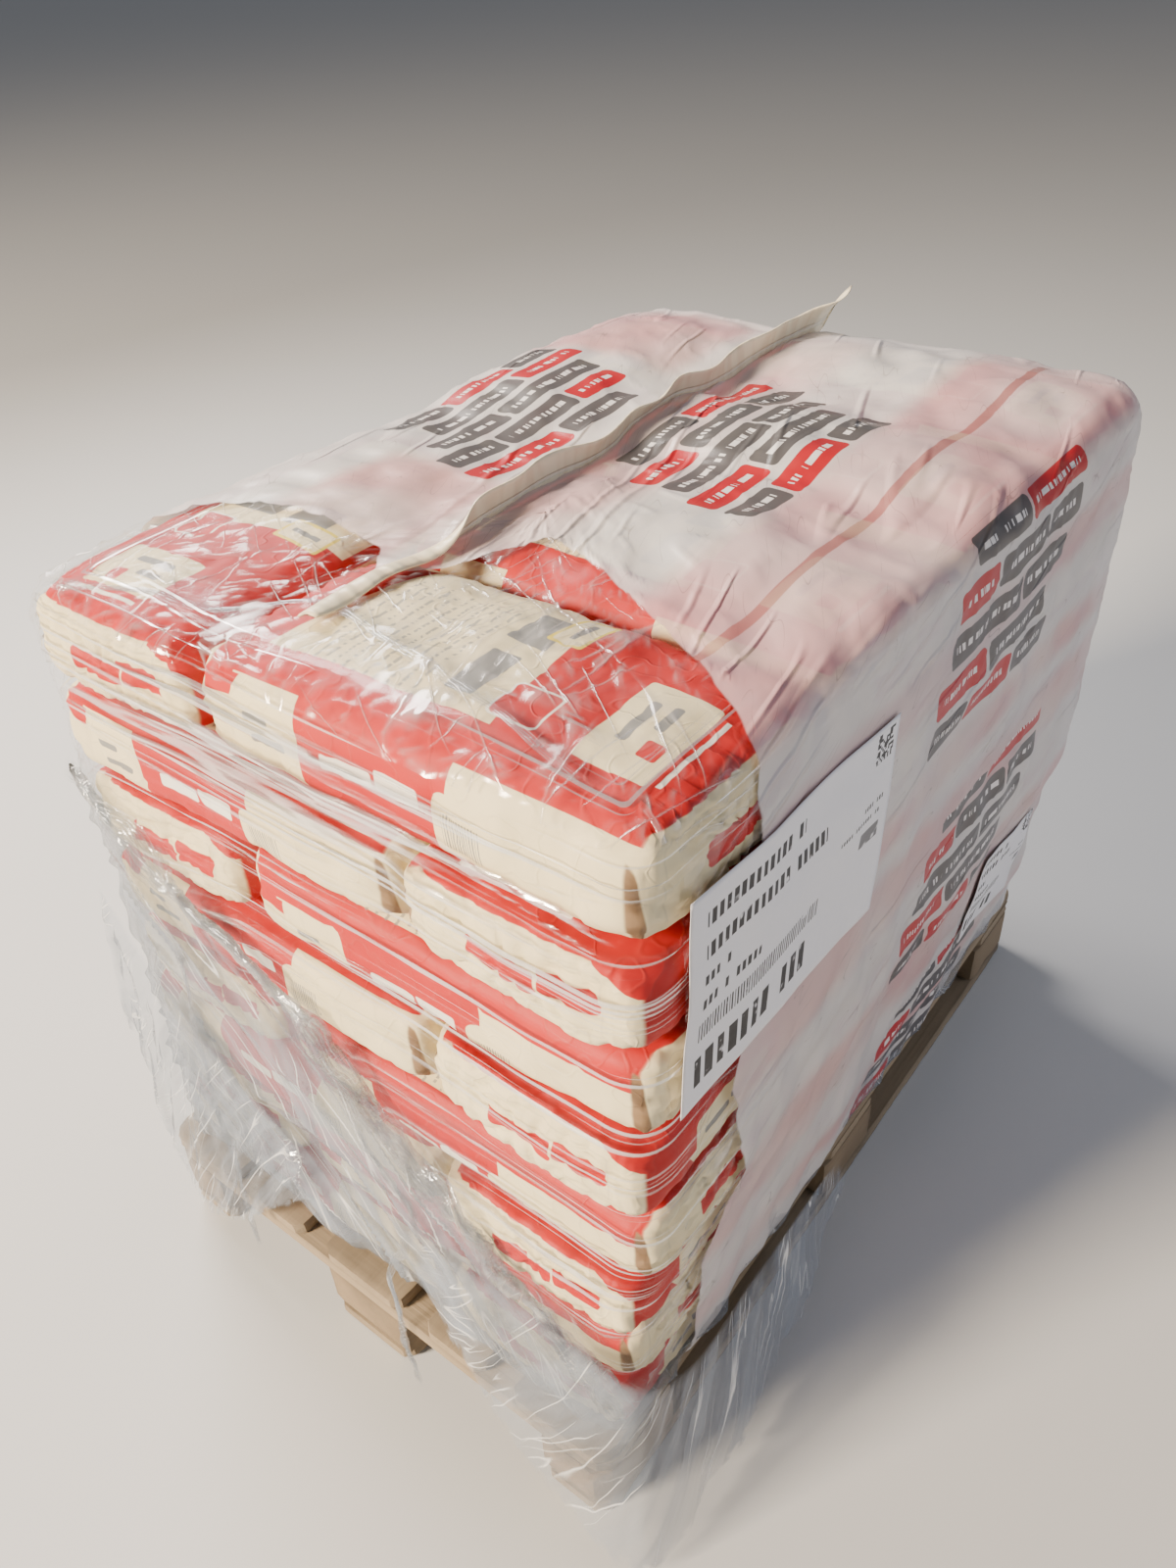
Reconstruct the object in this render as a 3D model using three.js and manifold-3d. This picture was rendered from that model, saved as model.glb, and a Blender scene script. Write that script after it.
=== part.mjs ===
// Pallet of paper sacks under film, in millimetres.
// +Z is up, +X runs along the pallet and the floor is at Z = 0. The origin is under the pallet's middle.
// The long side at -Y is the labelled one, and the end at -X is the one that shows through clear film.
import * as THREE from 'three';
import { mergeVertices } from 'three/addons/utils/BufferGeometryUtils.js';
import Module from 'manifold-3d';

const wasm = await Module();
wasm.setup();

// Pallet: a standard 1200 by 800 block pallet.
const palletLength = 1200;
const palletWidth = 800;
const boardThickness = 22;
const blockHeight = 78;
const blockLength = 145;
const wideBoard = 145;
const narrowBoard = 100;
const palletChamfer = 20;
const palletHeight = 3 * boardThickness + blockHeight;

// Load: layers of six sacks, four crosswise and two lengthwise.
const loadLength = 1104;
const loadDepth = 790;
const loadCentre = new THREE.Vector2(-22, -64);
const layerCount = 8;
const layerHeight = 112;
const crossSackCount = 4;
const longSackWidth = 275;
const longSackGap = 14;

// Sack: rounded all round, with flat faces where it lies on its neighbours.
const sackCorner = 42;
const sackCornerSteps = 3;
const smallestCorner = 13;
const sackPress = 2;
const flatInset = 26;
const shoulderInset = 7;
const shoulderRise = 16;
const bellyRise = 42;
const crownHeight = 20;
const crownInset = 105;
const crownShoulder = 0.7;

// Film: clear wrap next to the sacks, with the printed hood over it.
const touchGap = 0.3;
const wrapThickness = 1;
const hoodThickness = 1.2;
const filmBottom = 108;
const cutDepth = 5;
const filmDeckEdge = 150;
const filmKneeHeight = 186;
const filmKneeShare = 0.17;
const leaningLayers = 4;
const filmUprightFrom = palletHeight + leaningLayers * layerHeight;
const filmCorner = 38;
const filmDeckCorner = palletChamfer;
const filmCornerSteps = 4;
const topRounding = 60;
const roundingSteps = 4;
const wrapTurnIn = 75;
const hoodEndCut = 32;
const hoodEndLip = 34;

// Fin seam along the top of the hood.
const seamHeight = 26;
const seamThickness = 2.4;
const seamStart = new THREE.Vector2(-330, -34);
const seamEnd = new THREE.Vector2(508, 46);
const seamWave = 7;
const seamWaveTurns = 1.75;
const seamSteps = 18;

// Labels on the long side.
const labelThickness = 0.8;
const labelTilt = THREE.MathUtils.degToRad(3.4);
const label = { width: 350, height: 236, x: -350, z: 838 };
const lowerLabel = { width: 190, height: 150, x: 330, z: 380 };

// Shifts of each layer in X and Y, from the deck up. The load leans to -Y: its lower layers stand on the deck
// and the others have slid out past it.
const layerShifts = [[6, 52], [8, 38], [0, 24], [6, 10], [0, 3], [5, 5], [-2, -3], [6, 4]];

// Points closer together than this become one point when a solid is made.
const mergeDistance = 1e-4;

const finishes = {
  deckWood: { color: 0x9c8463, roughness: 0.85, metalness: 0 },
  blockWood: { color: 0x8a7152, roughness: 0.9, metalness: 0 },
  sackPaper: { color: 0xe6dfce, roughness: 0.7, metalness: 0 },
  hoodFilm: { color: 0xe8e2e4, roughness: 0.35, metalness: 0, transparent: true, opacity: 0.85 },
  wrapFilm: { color: 0xf2f4f5, roughness: 0.15, metalness: 0, transparent: true, opacity: 0.25 },
  labelPaper: { color: 0xf4f4f8, roughness: 0.6, metalness: 0 },
};

const pallet = new THREE.Group();
const load = new THREE.Group();
const film = new THREE.Group();

function namedMesh(name, geometry, finish) {
  const mesh = new THREE.Mesh(geometry, new THREE.MeshStandardMaterial(finish));
  mesh.name = name;
  return mesh;
}

// A piece of pallet wood. Where it reaches a corner of the pallet, that corner is sawn off at an angle.
function board(name, size, centre, finish) {
  const outline = [];
  [[1, 1], [-1, 1], [-1, -1], [1, -1]].forEach(([sideX, sideY]) => {
    const corner = new THREE.Vector2(sideX * size.x / 2, sideY * size.y / 2);
    const atEnd = centre.x + corner.x === sideX * palletLength / 2;
    const atSide = centre.y + corner.y === sideY * palletWidth / 2;
    if (atEnd && atSide) {
      const alongX = new THREE.Vector2(corner.x - sideX * palletChamfer, corner.y);
      const alongY = new THREE.Vector2(corner.x, corner.y - sideY * palletChamfer);
      outline.push(...(sideX === sideY ? [alongY, alongX] : [alongX, alongY]));
    } else {
      outline.push(corner);
    }
  });
  const options = { depth: size.z, bevelEnabled: false };
  const geometry = new THREE.ExtrudeGeometry(new THREE.Shape(outline), options);
  geometry.translate(0, 0, -size.z / 2);
  const mesh = namedMesh(name, geometry, finish);
  mesh.position.copy(centre);
  return mesh;
}

// A rectangle in plan, grown outwards by a distance, or drawn inwards by a negative one.
function grown(box, distance) {
  const result = box.clone();
  return result.expandByScalar(distance);
}

// The points of a rounded rectangle at one height, counterclockwise from its +X, +Y corner.
function roundedLoop(box, radius, height, steps) {
  const points = [];
  const centres = [
    [box.max.x - radius, box.max.y - radius],
    [box.min.x + radius, box.max.y - radius],
    [box.min.x + radius, box.min.y + radius],
    [box.max.x - radius, box.min.y + radius],
  ];
  centres.forEach(([x, y], quarter) => {
    for (let step = 0; step <= steps; step += 1) {
      const angle = (quarter + step / steps) * Math.PI / 2;
      points.push(new THREE.Vector3(x + radius * Math.cos(angle), y + radius * Math.sin(angle), height));
    }
  });
  return points;
}

// A closed solid through loops of equal length, from the lowest to the highest, with flat ends.
function loft(loops) {
  const count = loops[0].length;
  const index = [];
  for (let level = 0; level + 1 < loops.length; level += 1) {
    for (let side = 0; side < count; side += 1) {
      const here = level * count + side;
      const next = level * count + (side + 1) % count;
      index.push(here, next, next + count, here, next + count, here + count);
    }
  }
  const last = (loops.length - 1) * count;
  for (let side = 1; side + 1 < count; side += 1) {
    index.push(0, side + 1, side);
    index.push(last, last + side, last + side + 1);
  }
  const geometry = new THREE.BufferGeometry().setFromPoints(loops.flat());
  geometry.setIndex(index);
  return geometry;
}

function toManifold(geometry) {
  const bare = geometry.clone();
  bare.deleteAttribute('normal');
  bare.deleteAttribute('uv');
  const merged = mergeVertices(bare, mergeDistance);
  return new wasm.Manifold(new wasm.Mesh({
    numProp: 3,
    vertProperties: new Float32Array(merged.attributes.position.array),
    triVerts: new Uint32Array(merged.index.array),
  }));
}

function toGeometry(solid) {
  const mesh = solid.getMesh();
  const geometry = new THREE.BufferGeometry();
  geometry.setAttribute('position', new THREE.BufferAttribute(new Float32Array(mesh.vertProperties), 3));
  geometry.setIndex(new THREE.BufferAttribute(new Uint32Array(mesh.triVerts), 1));
  geometry.computeVertexNormals();
  return geometry;
}

function boxSolid(low, high) {
  const size = new THREE.Vector3().subVectors(high, low);
  const geometry = new THREE.BoxGeometry(size.x, size.y, size.z);
  geometry.translate((low.x + high.x) / 2, (low.y + high.y) / 2, (low.z + high.z) / 2);
  return toManifold(geometry);
}

function buildPallet() {
  const rowsX = [-1, 0, 1].map((side) => side * (palletLength - blockLength) / 2);
  const rowsY = [-1, 0, 1].map((side) => side * (palletWidth - narrowBoard) / 2);
  const deckWidths = [wideBoard, narrowBoard, wideBoard, narrowBoard, wideBoard];
  const deckWood = deckWidths.reduce((sum, width) => sum + width, 0);
  const deckGap = (palletWidth - deckWood) / (deckWidths.length - 1);
  let edge = -palletWidth / 2;
  deckWidths.forEach((width, i) => {
    const centre = new THREE.Vector3(0, edge + width / 2, palletHeight - boardThickness / 2);
    const size = new THREE.Vector3(palletLength, width, boardThickness);
    pallet.add(board(`deck_board_${i + 1}`, size, centre, finishes.deckWood));
    edge += width + deckGap;
  });
  rowsX.forEach((x, i) => {
    const centre = new THREE.Vector3(x, 0, palletHeight - 1.5 * boardThickness);
    const size = new THREE.Vector3(blockLength, palletWidth, boardThickness);
    pallet.add(board(`stringer_board_${i + 1}`, size, centre, finishes.deckWood));
  });
  rowsY.forEach((y, i) => {
    const width = i === 1 ? wideBoard : narrowBoard;
    const size = new THREE.Vector3(palletLength, width, boardThickness);
    const centre = new THREE.Vector3(0, y, boardThickness / 2);
    pallet.add(board(`bottom_board_${i + 1}`, size, centre, finishes.deckWood));
    rowsX.forEach((x, j) => {
      const blockSize = new THREE.Vector3(blockLength, width, blockHeight);
      const place = new THREE.Vector3(x, y, boardThickness + blockHeight / 2);
      pallet.add(board(`block_${3 * i + j + 1}`, blockSize, place, finishes.blockWood));
    });
  });
}

// One sack lying flat, from its rectangle in plan. The uppermost ones have a crown of powder on top.
function sack(box, bottom, crowned) {
  const profile = [
    [flatInset, 0],
    [shoulderInset, shoulderRise],
    [0, bellyRise],
    [0, layerHeight - bellyRise],
    [shoulderInset, layerHeight - shoulderRise],
    [flatInset, layerHeight],
  ];
  if (crowned) {
    profile.push([(flatInset + crownInset) / 2, layerHeight + crownShoulder * crownHeight]);
    profile.push([crownInset, layerHeight + crownHeight]);
  }
  const loops = profile.map(([inset, rise]) => {
    const radius = Math.max(sackCorner - inset, smallestCorner);
    return roundedLoop(grown(box, -inset), radius, bottom + rise, sackCornerSteps);
  });
  return toManifold(loft(loops));
}

// The rectangles of a layer's six sacks in plan. The two lengthwise ones lie along the far or the near long side.
function sackBoxes(layer) {
  const [shiftX, shiftY] = layerShifts[layer];
  const middle = new THREE.Vector2(loadCentre.x + shiftX, loadCentre.y + shiftY);
  const lengthwiseSide = layer % 2 === 1 ? 1 : -1;
  const crossPitch = loadLength / crossSackCount;
  const crossLength = loadDepth - longSackWidth;
  const crossY = middle.y - lengthwiseSide * (loadDepth - crossLength) / 2;
  const longY = middle.y + lengthwiseSide * (loadDepth - longSackWidth) / 2;
  const longLength = (loadLength - longSackGap) / 2;
  const boxes = [];
  const addBox = (x, y, sizeX, sizeY) => {
    const size = new THREE.Vector2(sizeX + sackPress, sizeY + sackPress);
    boxes.push(new THREE.Box2().setFromCenterAndSize(new THREE.Vector2(x, y), size));
  };
  for (let i = 0; i < crossSackCount; i += 1) {
    addBox(middle.x + (i - (crossSackCount - 1) / 2) * crossPitch, crossY, crossPitch, crossLength);
  }
  [-1, 1].forEach((side) => {
    addBox(middle.x + side * (longLength + longSackGap) / 2, longY, longLength, longSackWidth);
  });
  return boxes;
}

// Returns the rectangle that the upright layers fill together.
function buildSacks() {
  const footprint = new THREE.Box2();
  for (let layer = 0; layer < layerCount; layer += 1) {
    const bottom = palletHeight + layer * layerHeight;
    const boxes = sackBoxes(layer);
    if (layer >= leaningLayers) {
      boxes.forEach((box) => footprint.union(box));
    }
    const solids = boxes.map((box) => sack(box, bottom, layer === layerCount - 1));
    const joined = solids.reduce((sum, solid) => sum.add(solid));
    load.add(namedMesh(`sack_layer_${layer + 1}`, toGeometry(joined), finishes.sackPaper));
  }
  return footprint;
}

// The rectangle a share of the way from one rectangle to another.
function between(from, to, share) {
  return new THREE.Box2(from.min.clone().lerp(to.min, share), from.max.clone().lerp(to.max, share));
}

// The space inside one film surface. It runs down the upright sides, slants to the edges of the pallet's deck
// and rounds off over the top.
function filmForm(footprint, distance, bottom) {
  const deck = new THREE.Box2().setFromCenterAndSize(
    new THREE.Vector2(),
    new THREE.Vector2(palletLength, palletWidth),
  );
  const upper = grown(footprint, distance);
  const lower = grown(deck, distance);
  const knee = between(lower, upper, filmKneeShare);
  const top = palletHeight + layerCount * layerHeight + crownHeight + distance;
  const rounding = crownHeight + bellyRise;
  const loops = [
    roundedLoop(lower, filmDeckCorner, bottom, filmCornerSteps),
    roundedLoop(lower, filmDeckCorner, filmDeckEdge, filmCornerSteps),
    roundedLoop(knee, filmDeckCorner, filmKneeHeight, filmCornerSteps),
    roundedLoop(upper, filmCorner, filmUprightFrom, filmCornerSteps),
  ];
  for (let step = 0; step <= roundingSteps; step += 1) {
    const angle = step / roundingSteps * Math.PI / 2;
    const inset = topRounding * (1 - Math.cos(angle));
    const height = top - rounding * (1 - Math.sin(angle));
    const radius = Math.max(filmCorner - inset, smallestCorner);
    loops.push(roundedLoop(grown(upper, -inset), radius, height, filmCornerSteps));
  }
  return { solid: toManifold(loft(loops)), upper, top };
}

function filmShell(footprint, distance, thickness) {
  const outer = filmForm(footprint, distance + thickness, filmBottom);
  const inner = filmForm(footprint, distance, filmBottom - cutDepth);
  return { solid: outer.solid.subtract(inner.solid), upper: outer.upper, top: outer.top };
}

// The clear wrap, open on top but for the strip that is turned in over the sacks.
function buildWrap(footprint) {
  const shell = filmShell(footprint, touchGap, wrapThickness);
  const opening = grown(shell.upper, -wrapTurnIn);
  const window = boxSolid(
    new THREE.Vector3(opening.min.x, opening.min.y, shell.top - crownHeight),
    new THREE.Vector3(opening.max.x, opening.max.y, shell.top + crownHeight),
  );
  film.add(namedMesh('stretch_wrap', toGeometry(shell.solid.subtract(window)), finishes.wrapFilm));
  return touchGap + wrapThickness;
}

// The standing fin: its plan is a thin wavy strip between its two ends.
function finSeam(bottom, top) {
  const along = new THREE.Vector2().subVectors(seamEnd, seamStart);
  const side = new THREE.Vector2(-along.y, along.x).normalize();
  const edge = (offset) => {
    const points = [];
    for (let step = 0; step <= seamSteps; step += 1) {
      const share = step / seamSteps;
      const wave = Math.sin(share * seamWaveTurns * 2 * Math.PI) * Math.sin(share * Math.PI);
      const sway = seamWave * wave + offset;
      points.push(seamStart.clone().addScaledVector(along, share).addScaledVector(side, sway));
    }
    return points;
  };
  const outline = [...edge(-seamThickness / 2), ...edge(seamThickness / 2).reverse()];
  const options = { depth: top - bottom, bevelEnabled: false };
  const geometry = new THREE.ExtrudeGeometry(new THREE.Shape(outline), options);
  geometry.translate(0, 0, bottom);
  return toManifold(geometry);
}

// The hood: top and three sides, gone from the clear end at -X but for a lip over the edge.
function buildHood(footprint, distance) {
  const shell = filmShell(footprint, distance, hoodThickness);
  const end = boxSolid(
    new THREE.Vector3(-palletLength, -palletWidth, 0),
    new THREE.Vector3(footprint.min.x + hoodEndCut, palletWidth, shell.top - hoodEndLip),
  );
  const seam = finSeam(shell.top - hoodThickness / 2, shell.top + seamHeight);
  const solid = shell.solid.subtract(end).add(seam);
  film.add(namedMesh('stretch_hood', toGeometry(solid), finishes.hoodFilm));
  return distance + hoodThickness;
}

function labelPlate(name, size, place) {
  const geometry = new THREE.BoxGeometry(size.width, labelThickness, size.height);
  const mesh = namedMesh(name, geometry, finishes.labelPaper);
  mesh.position.copy(place);
  return mesh;
}

// One label lies askew on the upright part of the long side, and one lies on the slanting part under it.
function buildLabels(footprint, distance) {
  const standOff = touchGap + labelThickness / 2;
  const wallY = footprint.min.y - distance;
  const upper = labelPlate('pallet_label', label, new THREE.Vector3(label.x, wallY - standOff, label.z));
  upper.rotation.y = labelTilt;
  const kneeY = THREE.MathUtils.lerp(-palletWidth / 2 - distance, wallY, filmKneeShare);
  const slantRise = filmUprightFrom - filmKneeHeight;
  const slant = Math.atan2(kneeY - wallY, slantRise);
  const slantY = THREE.MathUtils.lerp(kneeY, wallY, (lowerLabel.z - filmKneeHeight) / slantRise);
  const offset = new THREE.Vector3(0, -Math.cos(slant), -Math.sin(slant)).multiplyScalar(standOff);
  const foot = new THREE.Vector3(lowerLabel.x, slantY, lowerLabel.z);
  const lower = labelPlate('pallet_label_2', lowerLabel, foot.add(offset));
  lower.rotation.x = slant;
  film.add(upper, lower);
}

buildPallet();
const footprint = buildSacks();
const wrapSurface = buildWrap(footprint);
const hoodSurface = buildHood(footprint, wrapSurface + touchGap);
buildLabels(footprint, hoodSurface);

const palletOfSacks = new THREE.Group();
palletOfSacks.add(pallet, load, film);

export default palletOfSacks;
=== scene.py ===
"""A pallet of paper sacks under stretch film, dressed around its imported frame.

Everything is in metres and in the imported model's frame: +X runs along the pallet, +Y across it and +Z up. The
labelled long side faces -Y, and the end that shows through clear film faces -X.
"""

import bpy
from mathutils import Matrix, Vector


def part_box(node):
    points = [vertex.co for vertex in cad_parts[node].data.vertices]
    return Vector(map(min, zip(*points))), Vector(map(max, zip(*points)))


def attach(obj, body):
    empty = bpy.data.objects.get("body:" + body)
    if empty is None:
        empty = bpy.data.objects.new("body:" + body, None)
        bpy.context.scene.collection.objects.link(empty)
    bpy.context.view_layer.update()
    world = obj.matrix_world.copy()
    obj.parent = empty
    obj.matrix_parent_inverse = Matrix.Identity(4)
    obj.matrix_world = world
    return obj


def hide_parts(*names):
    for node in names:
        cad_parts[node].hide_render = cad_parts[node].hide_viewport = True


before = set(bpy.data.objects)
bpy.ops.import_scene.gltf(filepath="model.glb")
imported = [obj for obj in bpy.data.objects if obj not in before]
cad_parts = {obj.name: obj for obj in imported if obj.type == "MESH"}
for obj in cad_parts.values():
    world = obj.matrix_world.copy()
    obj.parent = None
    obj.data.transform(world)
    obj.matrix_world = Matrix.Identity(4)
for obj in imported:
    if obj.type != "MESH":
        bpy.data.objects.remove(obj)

import copy
import functools
import logging
import math
from dataclasses import dataclass, field
from enum import Enum
from typing import Callable, Sequence, Union

import bmesh
import bpy
import numpy as np
from mathutils import Matrix, Vector

Array = np.ndarray
Pair = tuple[float, float]
Place = tuple[float, float, float]
Colour = tuple[float, float, float]
Socket = bpy.types.NodeSocket
Material = bpy.types.Material

log = logging.getLogger("pallet_of_sacks")

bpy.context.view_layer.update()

QUARTER_TURN = 0.5 * math.pi
SOUTH, EAST, NORTH, WEST = -QUARTER_TURN, 0.0, QUARTER_TURN, math.pi


# Arithmetic on arrays


def box_round(*nodes: str) -> tuple[Array, Array]:
    """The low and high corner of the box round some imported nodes."""
    lows, highs = zip(*(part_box(node) for node in nodes))
    return np.min(np.array(lows), axis=0), np.max(np.array(highs), axis=0)


def flat_vectors(along: Array, across: Array) -> Array:
    """Two coordinates as vectors whose third number is 0."""
    return np.stack([along, across, np.zeros_like(along)], axis=-1)


def smooth(low: float, high: float, value: Array) -> Array:
    """A soft step from 0 at low to 1 at high: 3 t^2 - 2 t^3 of the share t between them."""
    share = np.clip((value - low) / (high - low), 0.0, 1.0)
    return share * share * (3.0 - 2.0 * share)


def ripples(at: Array, rng: np.random.Generator, count: int, shortest: float, longest: float) -> Array:
    """Adds up sine waves of random heading, length and phase.

    Formula: the sum of sin(2 pi (at . heading) / length + phase), over the root of half their number.

    Args:
        at: Points, with two or three coordinates on the last axis.
        rng: Source of the headings, lengths and phases.
        count: How many waves.
        shortest: Shortest wave, in metres.
        longest: Longest wave, in metres.

    Returns:
        One value for each point, mostly between -1 and 1.
    """
    heading = rng.normal(size=(count, at.shape[-1]))
    heading /= np.linalg.norm(heading, axis=1, keepdims=True)
    length = np.exp(rng.uniform(math.log(shortest), math.log(longest), count))
    phase = rng.uniform(0.0, 2.0 * math.pi, count)
    waves = np.sin(at @ (2.0 * math.pi * heading / length[:, None]).T + phase)
    return waves.sum(axis=-1) / math.sqrt(2.0 * count)


def crest(value: Array, width: float) -> Array:
    """A ridge where a rippling value passes zero: exp(-(value / width)^2)."""
    return np.exp(-((value / width) ** 2))


def pinched(at: Array, centre: Pair, spokes: float, reach: float, rng: np.random.Generator) -> Array:
    """Folds that fan out from a place where film is pulled into a hollow.

    Formula: a ridge where sin(spokes x angle + a ripple) passes zero, faded by exp(-(distance / reach)^2).

    Args:
        at: Places on the sheet.
        centre: Where the folds start.
        spokes: Half the number of folds.
        reach: How far they run.
        rng: Source of the ripple.

    Returns:
        The folds, from 0 to 1.
    """
    away = at - np.array(centre)
    distance = np.linalg.norm(away, axis=-1)
    angle = np.arctan2(away[..., 1], away[..., 0])
    spoke = np.sin(spokes * angle + 1.3 * ripples(at, rng, 6, 0.05, 0.20))
    return crest(spoke, 0.22) * crest(distance, reach) * smooth(0.008, 0.035, distance)


def filtered(grid: Array, reach: int, modes: Sequence[str], how: Callable[..., Array]) -> Array:
    """Runs a square window over a grid, one axis after the other.

    Args:
        grid: The values.
        reach: Cells on each side of the middle one.
        modes: How numpy pads each axis: "wrap" for one that closes on itself, else "edge".
        how: np.max, np.min or np.mean.

    Returns:
        The grid of window results.
    """
    for axis, mode in enumerate(modes):
        margins = [(0, 0)] * grid.ndim
        margins[axis] = (reach, reach)
        padded = np.pad(grid, margins, mode=mode)
        windows = np.lib.stride_tricks.sliding_window_view(padded, 2 * reach + 1, axis=axis)
        grid = how(windows, axis=-1)
    return grid


def sampled(grid: Array, row: Array, column: Array, wraps: bool) -> Array:
    """Reads a grid between its cells: the weighted mean of the four around each place.

    Args:
        grid: Values by row and column.
        row: Row of each place, with fractions.
        column: Column of each place, with fractions.
        wraps: Whether the last column meets the first.

    Returns:
        One value for each place.
    """
    rows, columns = grid.shape
    row = np.clip(row, 0.0, rows - 1.001)
    column = np.mod(column, columns) if wraps else np.clip(column, 0.0, columns - 1.001)
    low_row, low_column = np.floor(row).astype(int), np.floor(column).astype(int)
    up, right = row - low_row, column - low_column
    next_column = (low_column + 1) % columns
    low = grid[low_row, low_column] * (1.0 - right) + grid[low_row, next_column] * right
    high = grid[low_row + 1, low_column] * (1.0 - right) + grid[low_row + 1, next_column] * right
    return low * (1.0 - up) + high * up


# Meshes


@dataclass
class Skin:
    """Part of a mesh: its points, the faces between them, and the values they carry for the finish."""

    points: Array
    faces: list[Array]
    carried: dict[str, Array]


def grid_faces(rows: int, columns: int, closed: bool) -> Array:
    """Quads of a grid of points, turned so that row x column order faces outwards.

    Args:
        rows: Points along the first axis.
        columns: Points along the second axis.
        closed: Whether the last column meets the first.

    Returns:
        Four point numbers for each cell.
    """
    row, column = np.meshgrid(np.arange(rows - 1), np.arange(columns - (not closed)), indexing="ij")
    first, beside = row * columns + column, row * columns + (column + 1) % columns
    return np.stack([first, beside, beside + columns, first + columns], axis=-1).reshape(-1, 4)


def capped_tube(points: Array, start: Array, end: Array,
                carried: dict[str, tuple[Array, Array, Array]]) -> Skin:
    """Closes rings of points into one skin, with one point at each end.

    Args:
        points: Rings by row, points round each ring by column.
        start: The point that closes the first ring.
        end: The point that closes the last ring.
        carried: For each name the values on the grid, at the start and at the end.

    Returns:
        The closed skin, which faces outwards where the rings run clockwise seen along their rows.
    """
    rows, columns = points.shape[:2]
    quads = grid_faces(rows, columns, True)[:, ::-1]
    ring = np.arange(columns)
    beside = (ring + 1) % columns
    first, top = rows * columns, (rows - 1) * columns
    tip = np.stack([np.full(columns, first), ring, beside], axis=-1)
    tail = np.stack([np.full(columns, first + 1), top + beside, top + ring], axis=-1)
    flat = {name: np.concatenate([grid.reshape(rows * columns, -1), low.reshape(1, -1), high.reshape(1, -1)])
            for name, (grid, low, high) in carried.items()}
    return Skin(np.concatenate([points.reshape(-1, 3), start[None], end[None]]), [quads, tip, tail], flat)


def sheet_skin(points: Array, faces: Array, carried: dict[str, Array]) -> Skin:
    """An open skin from a grid of points, the faces between them and the values on the same grid."""
    flat = {name: grid.reshape(points.shape[0] * points.shape[1], -1) for name, grid in carried.items()}
    return Skin(points.reshape(-1, 3), [faces], flat)


def make_piece(name: str, skin: Skin, material: Material,
               stands_for: Sequence[str]) -> bpy.types.Object:
    """Args:
        name: The piece's name.
        skin: What it is made of.
        material: Its finish.
        stands_for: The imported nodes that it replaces.

    Returns:
        The object.
    """
    loops = np.concatenate([block.ravel() for block in skin.faces]).astype(np.int32)
    sizes = np.concatenate([np.full(len(block), block.shape[1]) for block in skin.faces])
    mesh = bpy.data.meshes.new(name)
    mesh.vertices.add(len(skin.points))
    mesh.vertices.foreach_set("co", skin.points.astype(np.float32).ravel())
    mesh.loops.add(len(loops))
    mesh.loops.foreach_set("vertex_index", loops)
    mesh.polygons.add(len(sizes))
    mesh.polygons.foreach_set("loop_start", np.concatenate([[0], np.cumsum(sizes)[:-1]]).astype(np.int32))
    mesh.update(calc_edges=True)
    for key, values in skin.carried.items():
        kind, setter = ("FLOAT_VECTOR", "vector") if values.shape[1] == 3 else ("FLOAT", "value")
        mesh.attributes.new(key, kind, "POINT").data.foreach_set(setter, values.astype(np.float32).ravel())
    mesh.shade_smooth()
    mesh.materials.append(material)
    piece = bpy.data.objects.new(name, mesh)
    bpy.context.scene.collection.objects.link(piece)
    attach(piece, "root")
    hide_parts(*stands_for)
    log.info("%s: %d points", name, len(skin.points))
    return piece


def drop_loose_points(piece: bpy.types.Object) -> None:
    """Drops points that no face uses, and welds rows that meet.

    Args:
        piece: The film.
    """
    shape = bmesh.new()
    shape.from_mesh(piece.data)
    loose = [vertex for vertex in shape.verts if not vertex.link_faces]
    bmesh.ops.delete(shape, geom=loose, context="VERTS")
    bmesh.ops.remove_doubles(shape, verts=shape.verts[:], dist=2e-5)
    shape.to_mesh(piece.data)
    shape.free()


def curve(stops: Sequence[Sequence[float]], count: int) -> Array:
    """A smooth line through points: cubic pieces whose slope at each point follows its neighbours.

    Args:
        stops: The points.
        count: How many places on the line.

    Returns:
        The places, evenly spaced by chord length.
    """
    points = np.array(stops, dtype=float)
    far = np.concatenate([[0.0], np.cumsum(np.linalg.norm(np.diff(points, axis=0), axis=1))])
    slope = np.gradient(points, far, axis=0)
    at = np.linspace(0.0, far[-1], count)
    k = np.clip(np.searchsorted(far, at, side="right") - 1, 0, len(far) - 2)
    reach = (far[k + 1] - far[k])[:, None]
    t = (at - far[k])[:, None] / reach
    return ((2.0 * t ** 3 - 3.0 * t ** 2 + 1.0) * points[k] + (t ** 3 - 2.0 * t ** 2 + t) * reach * slope[k]
            + (3.0 * t ** 2 - 2.0 * t ** 3) * points[k + 1] + (t ** 3 - t ** 2) * reach * slope[k + 1])


# Shader maths

Number = Union[float, "Value"]
Inputs = dict[Union[str, int], object]


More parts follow.
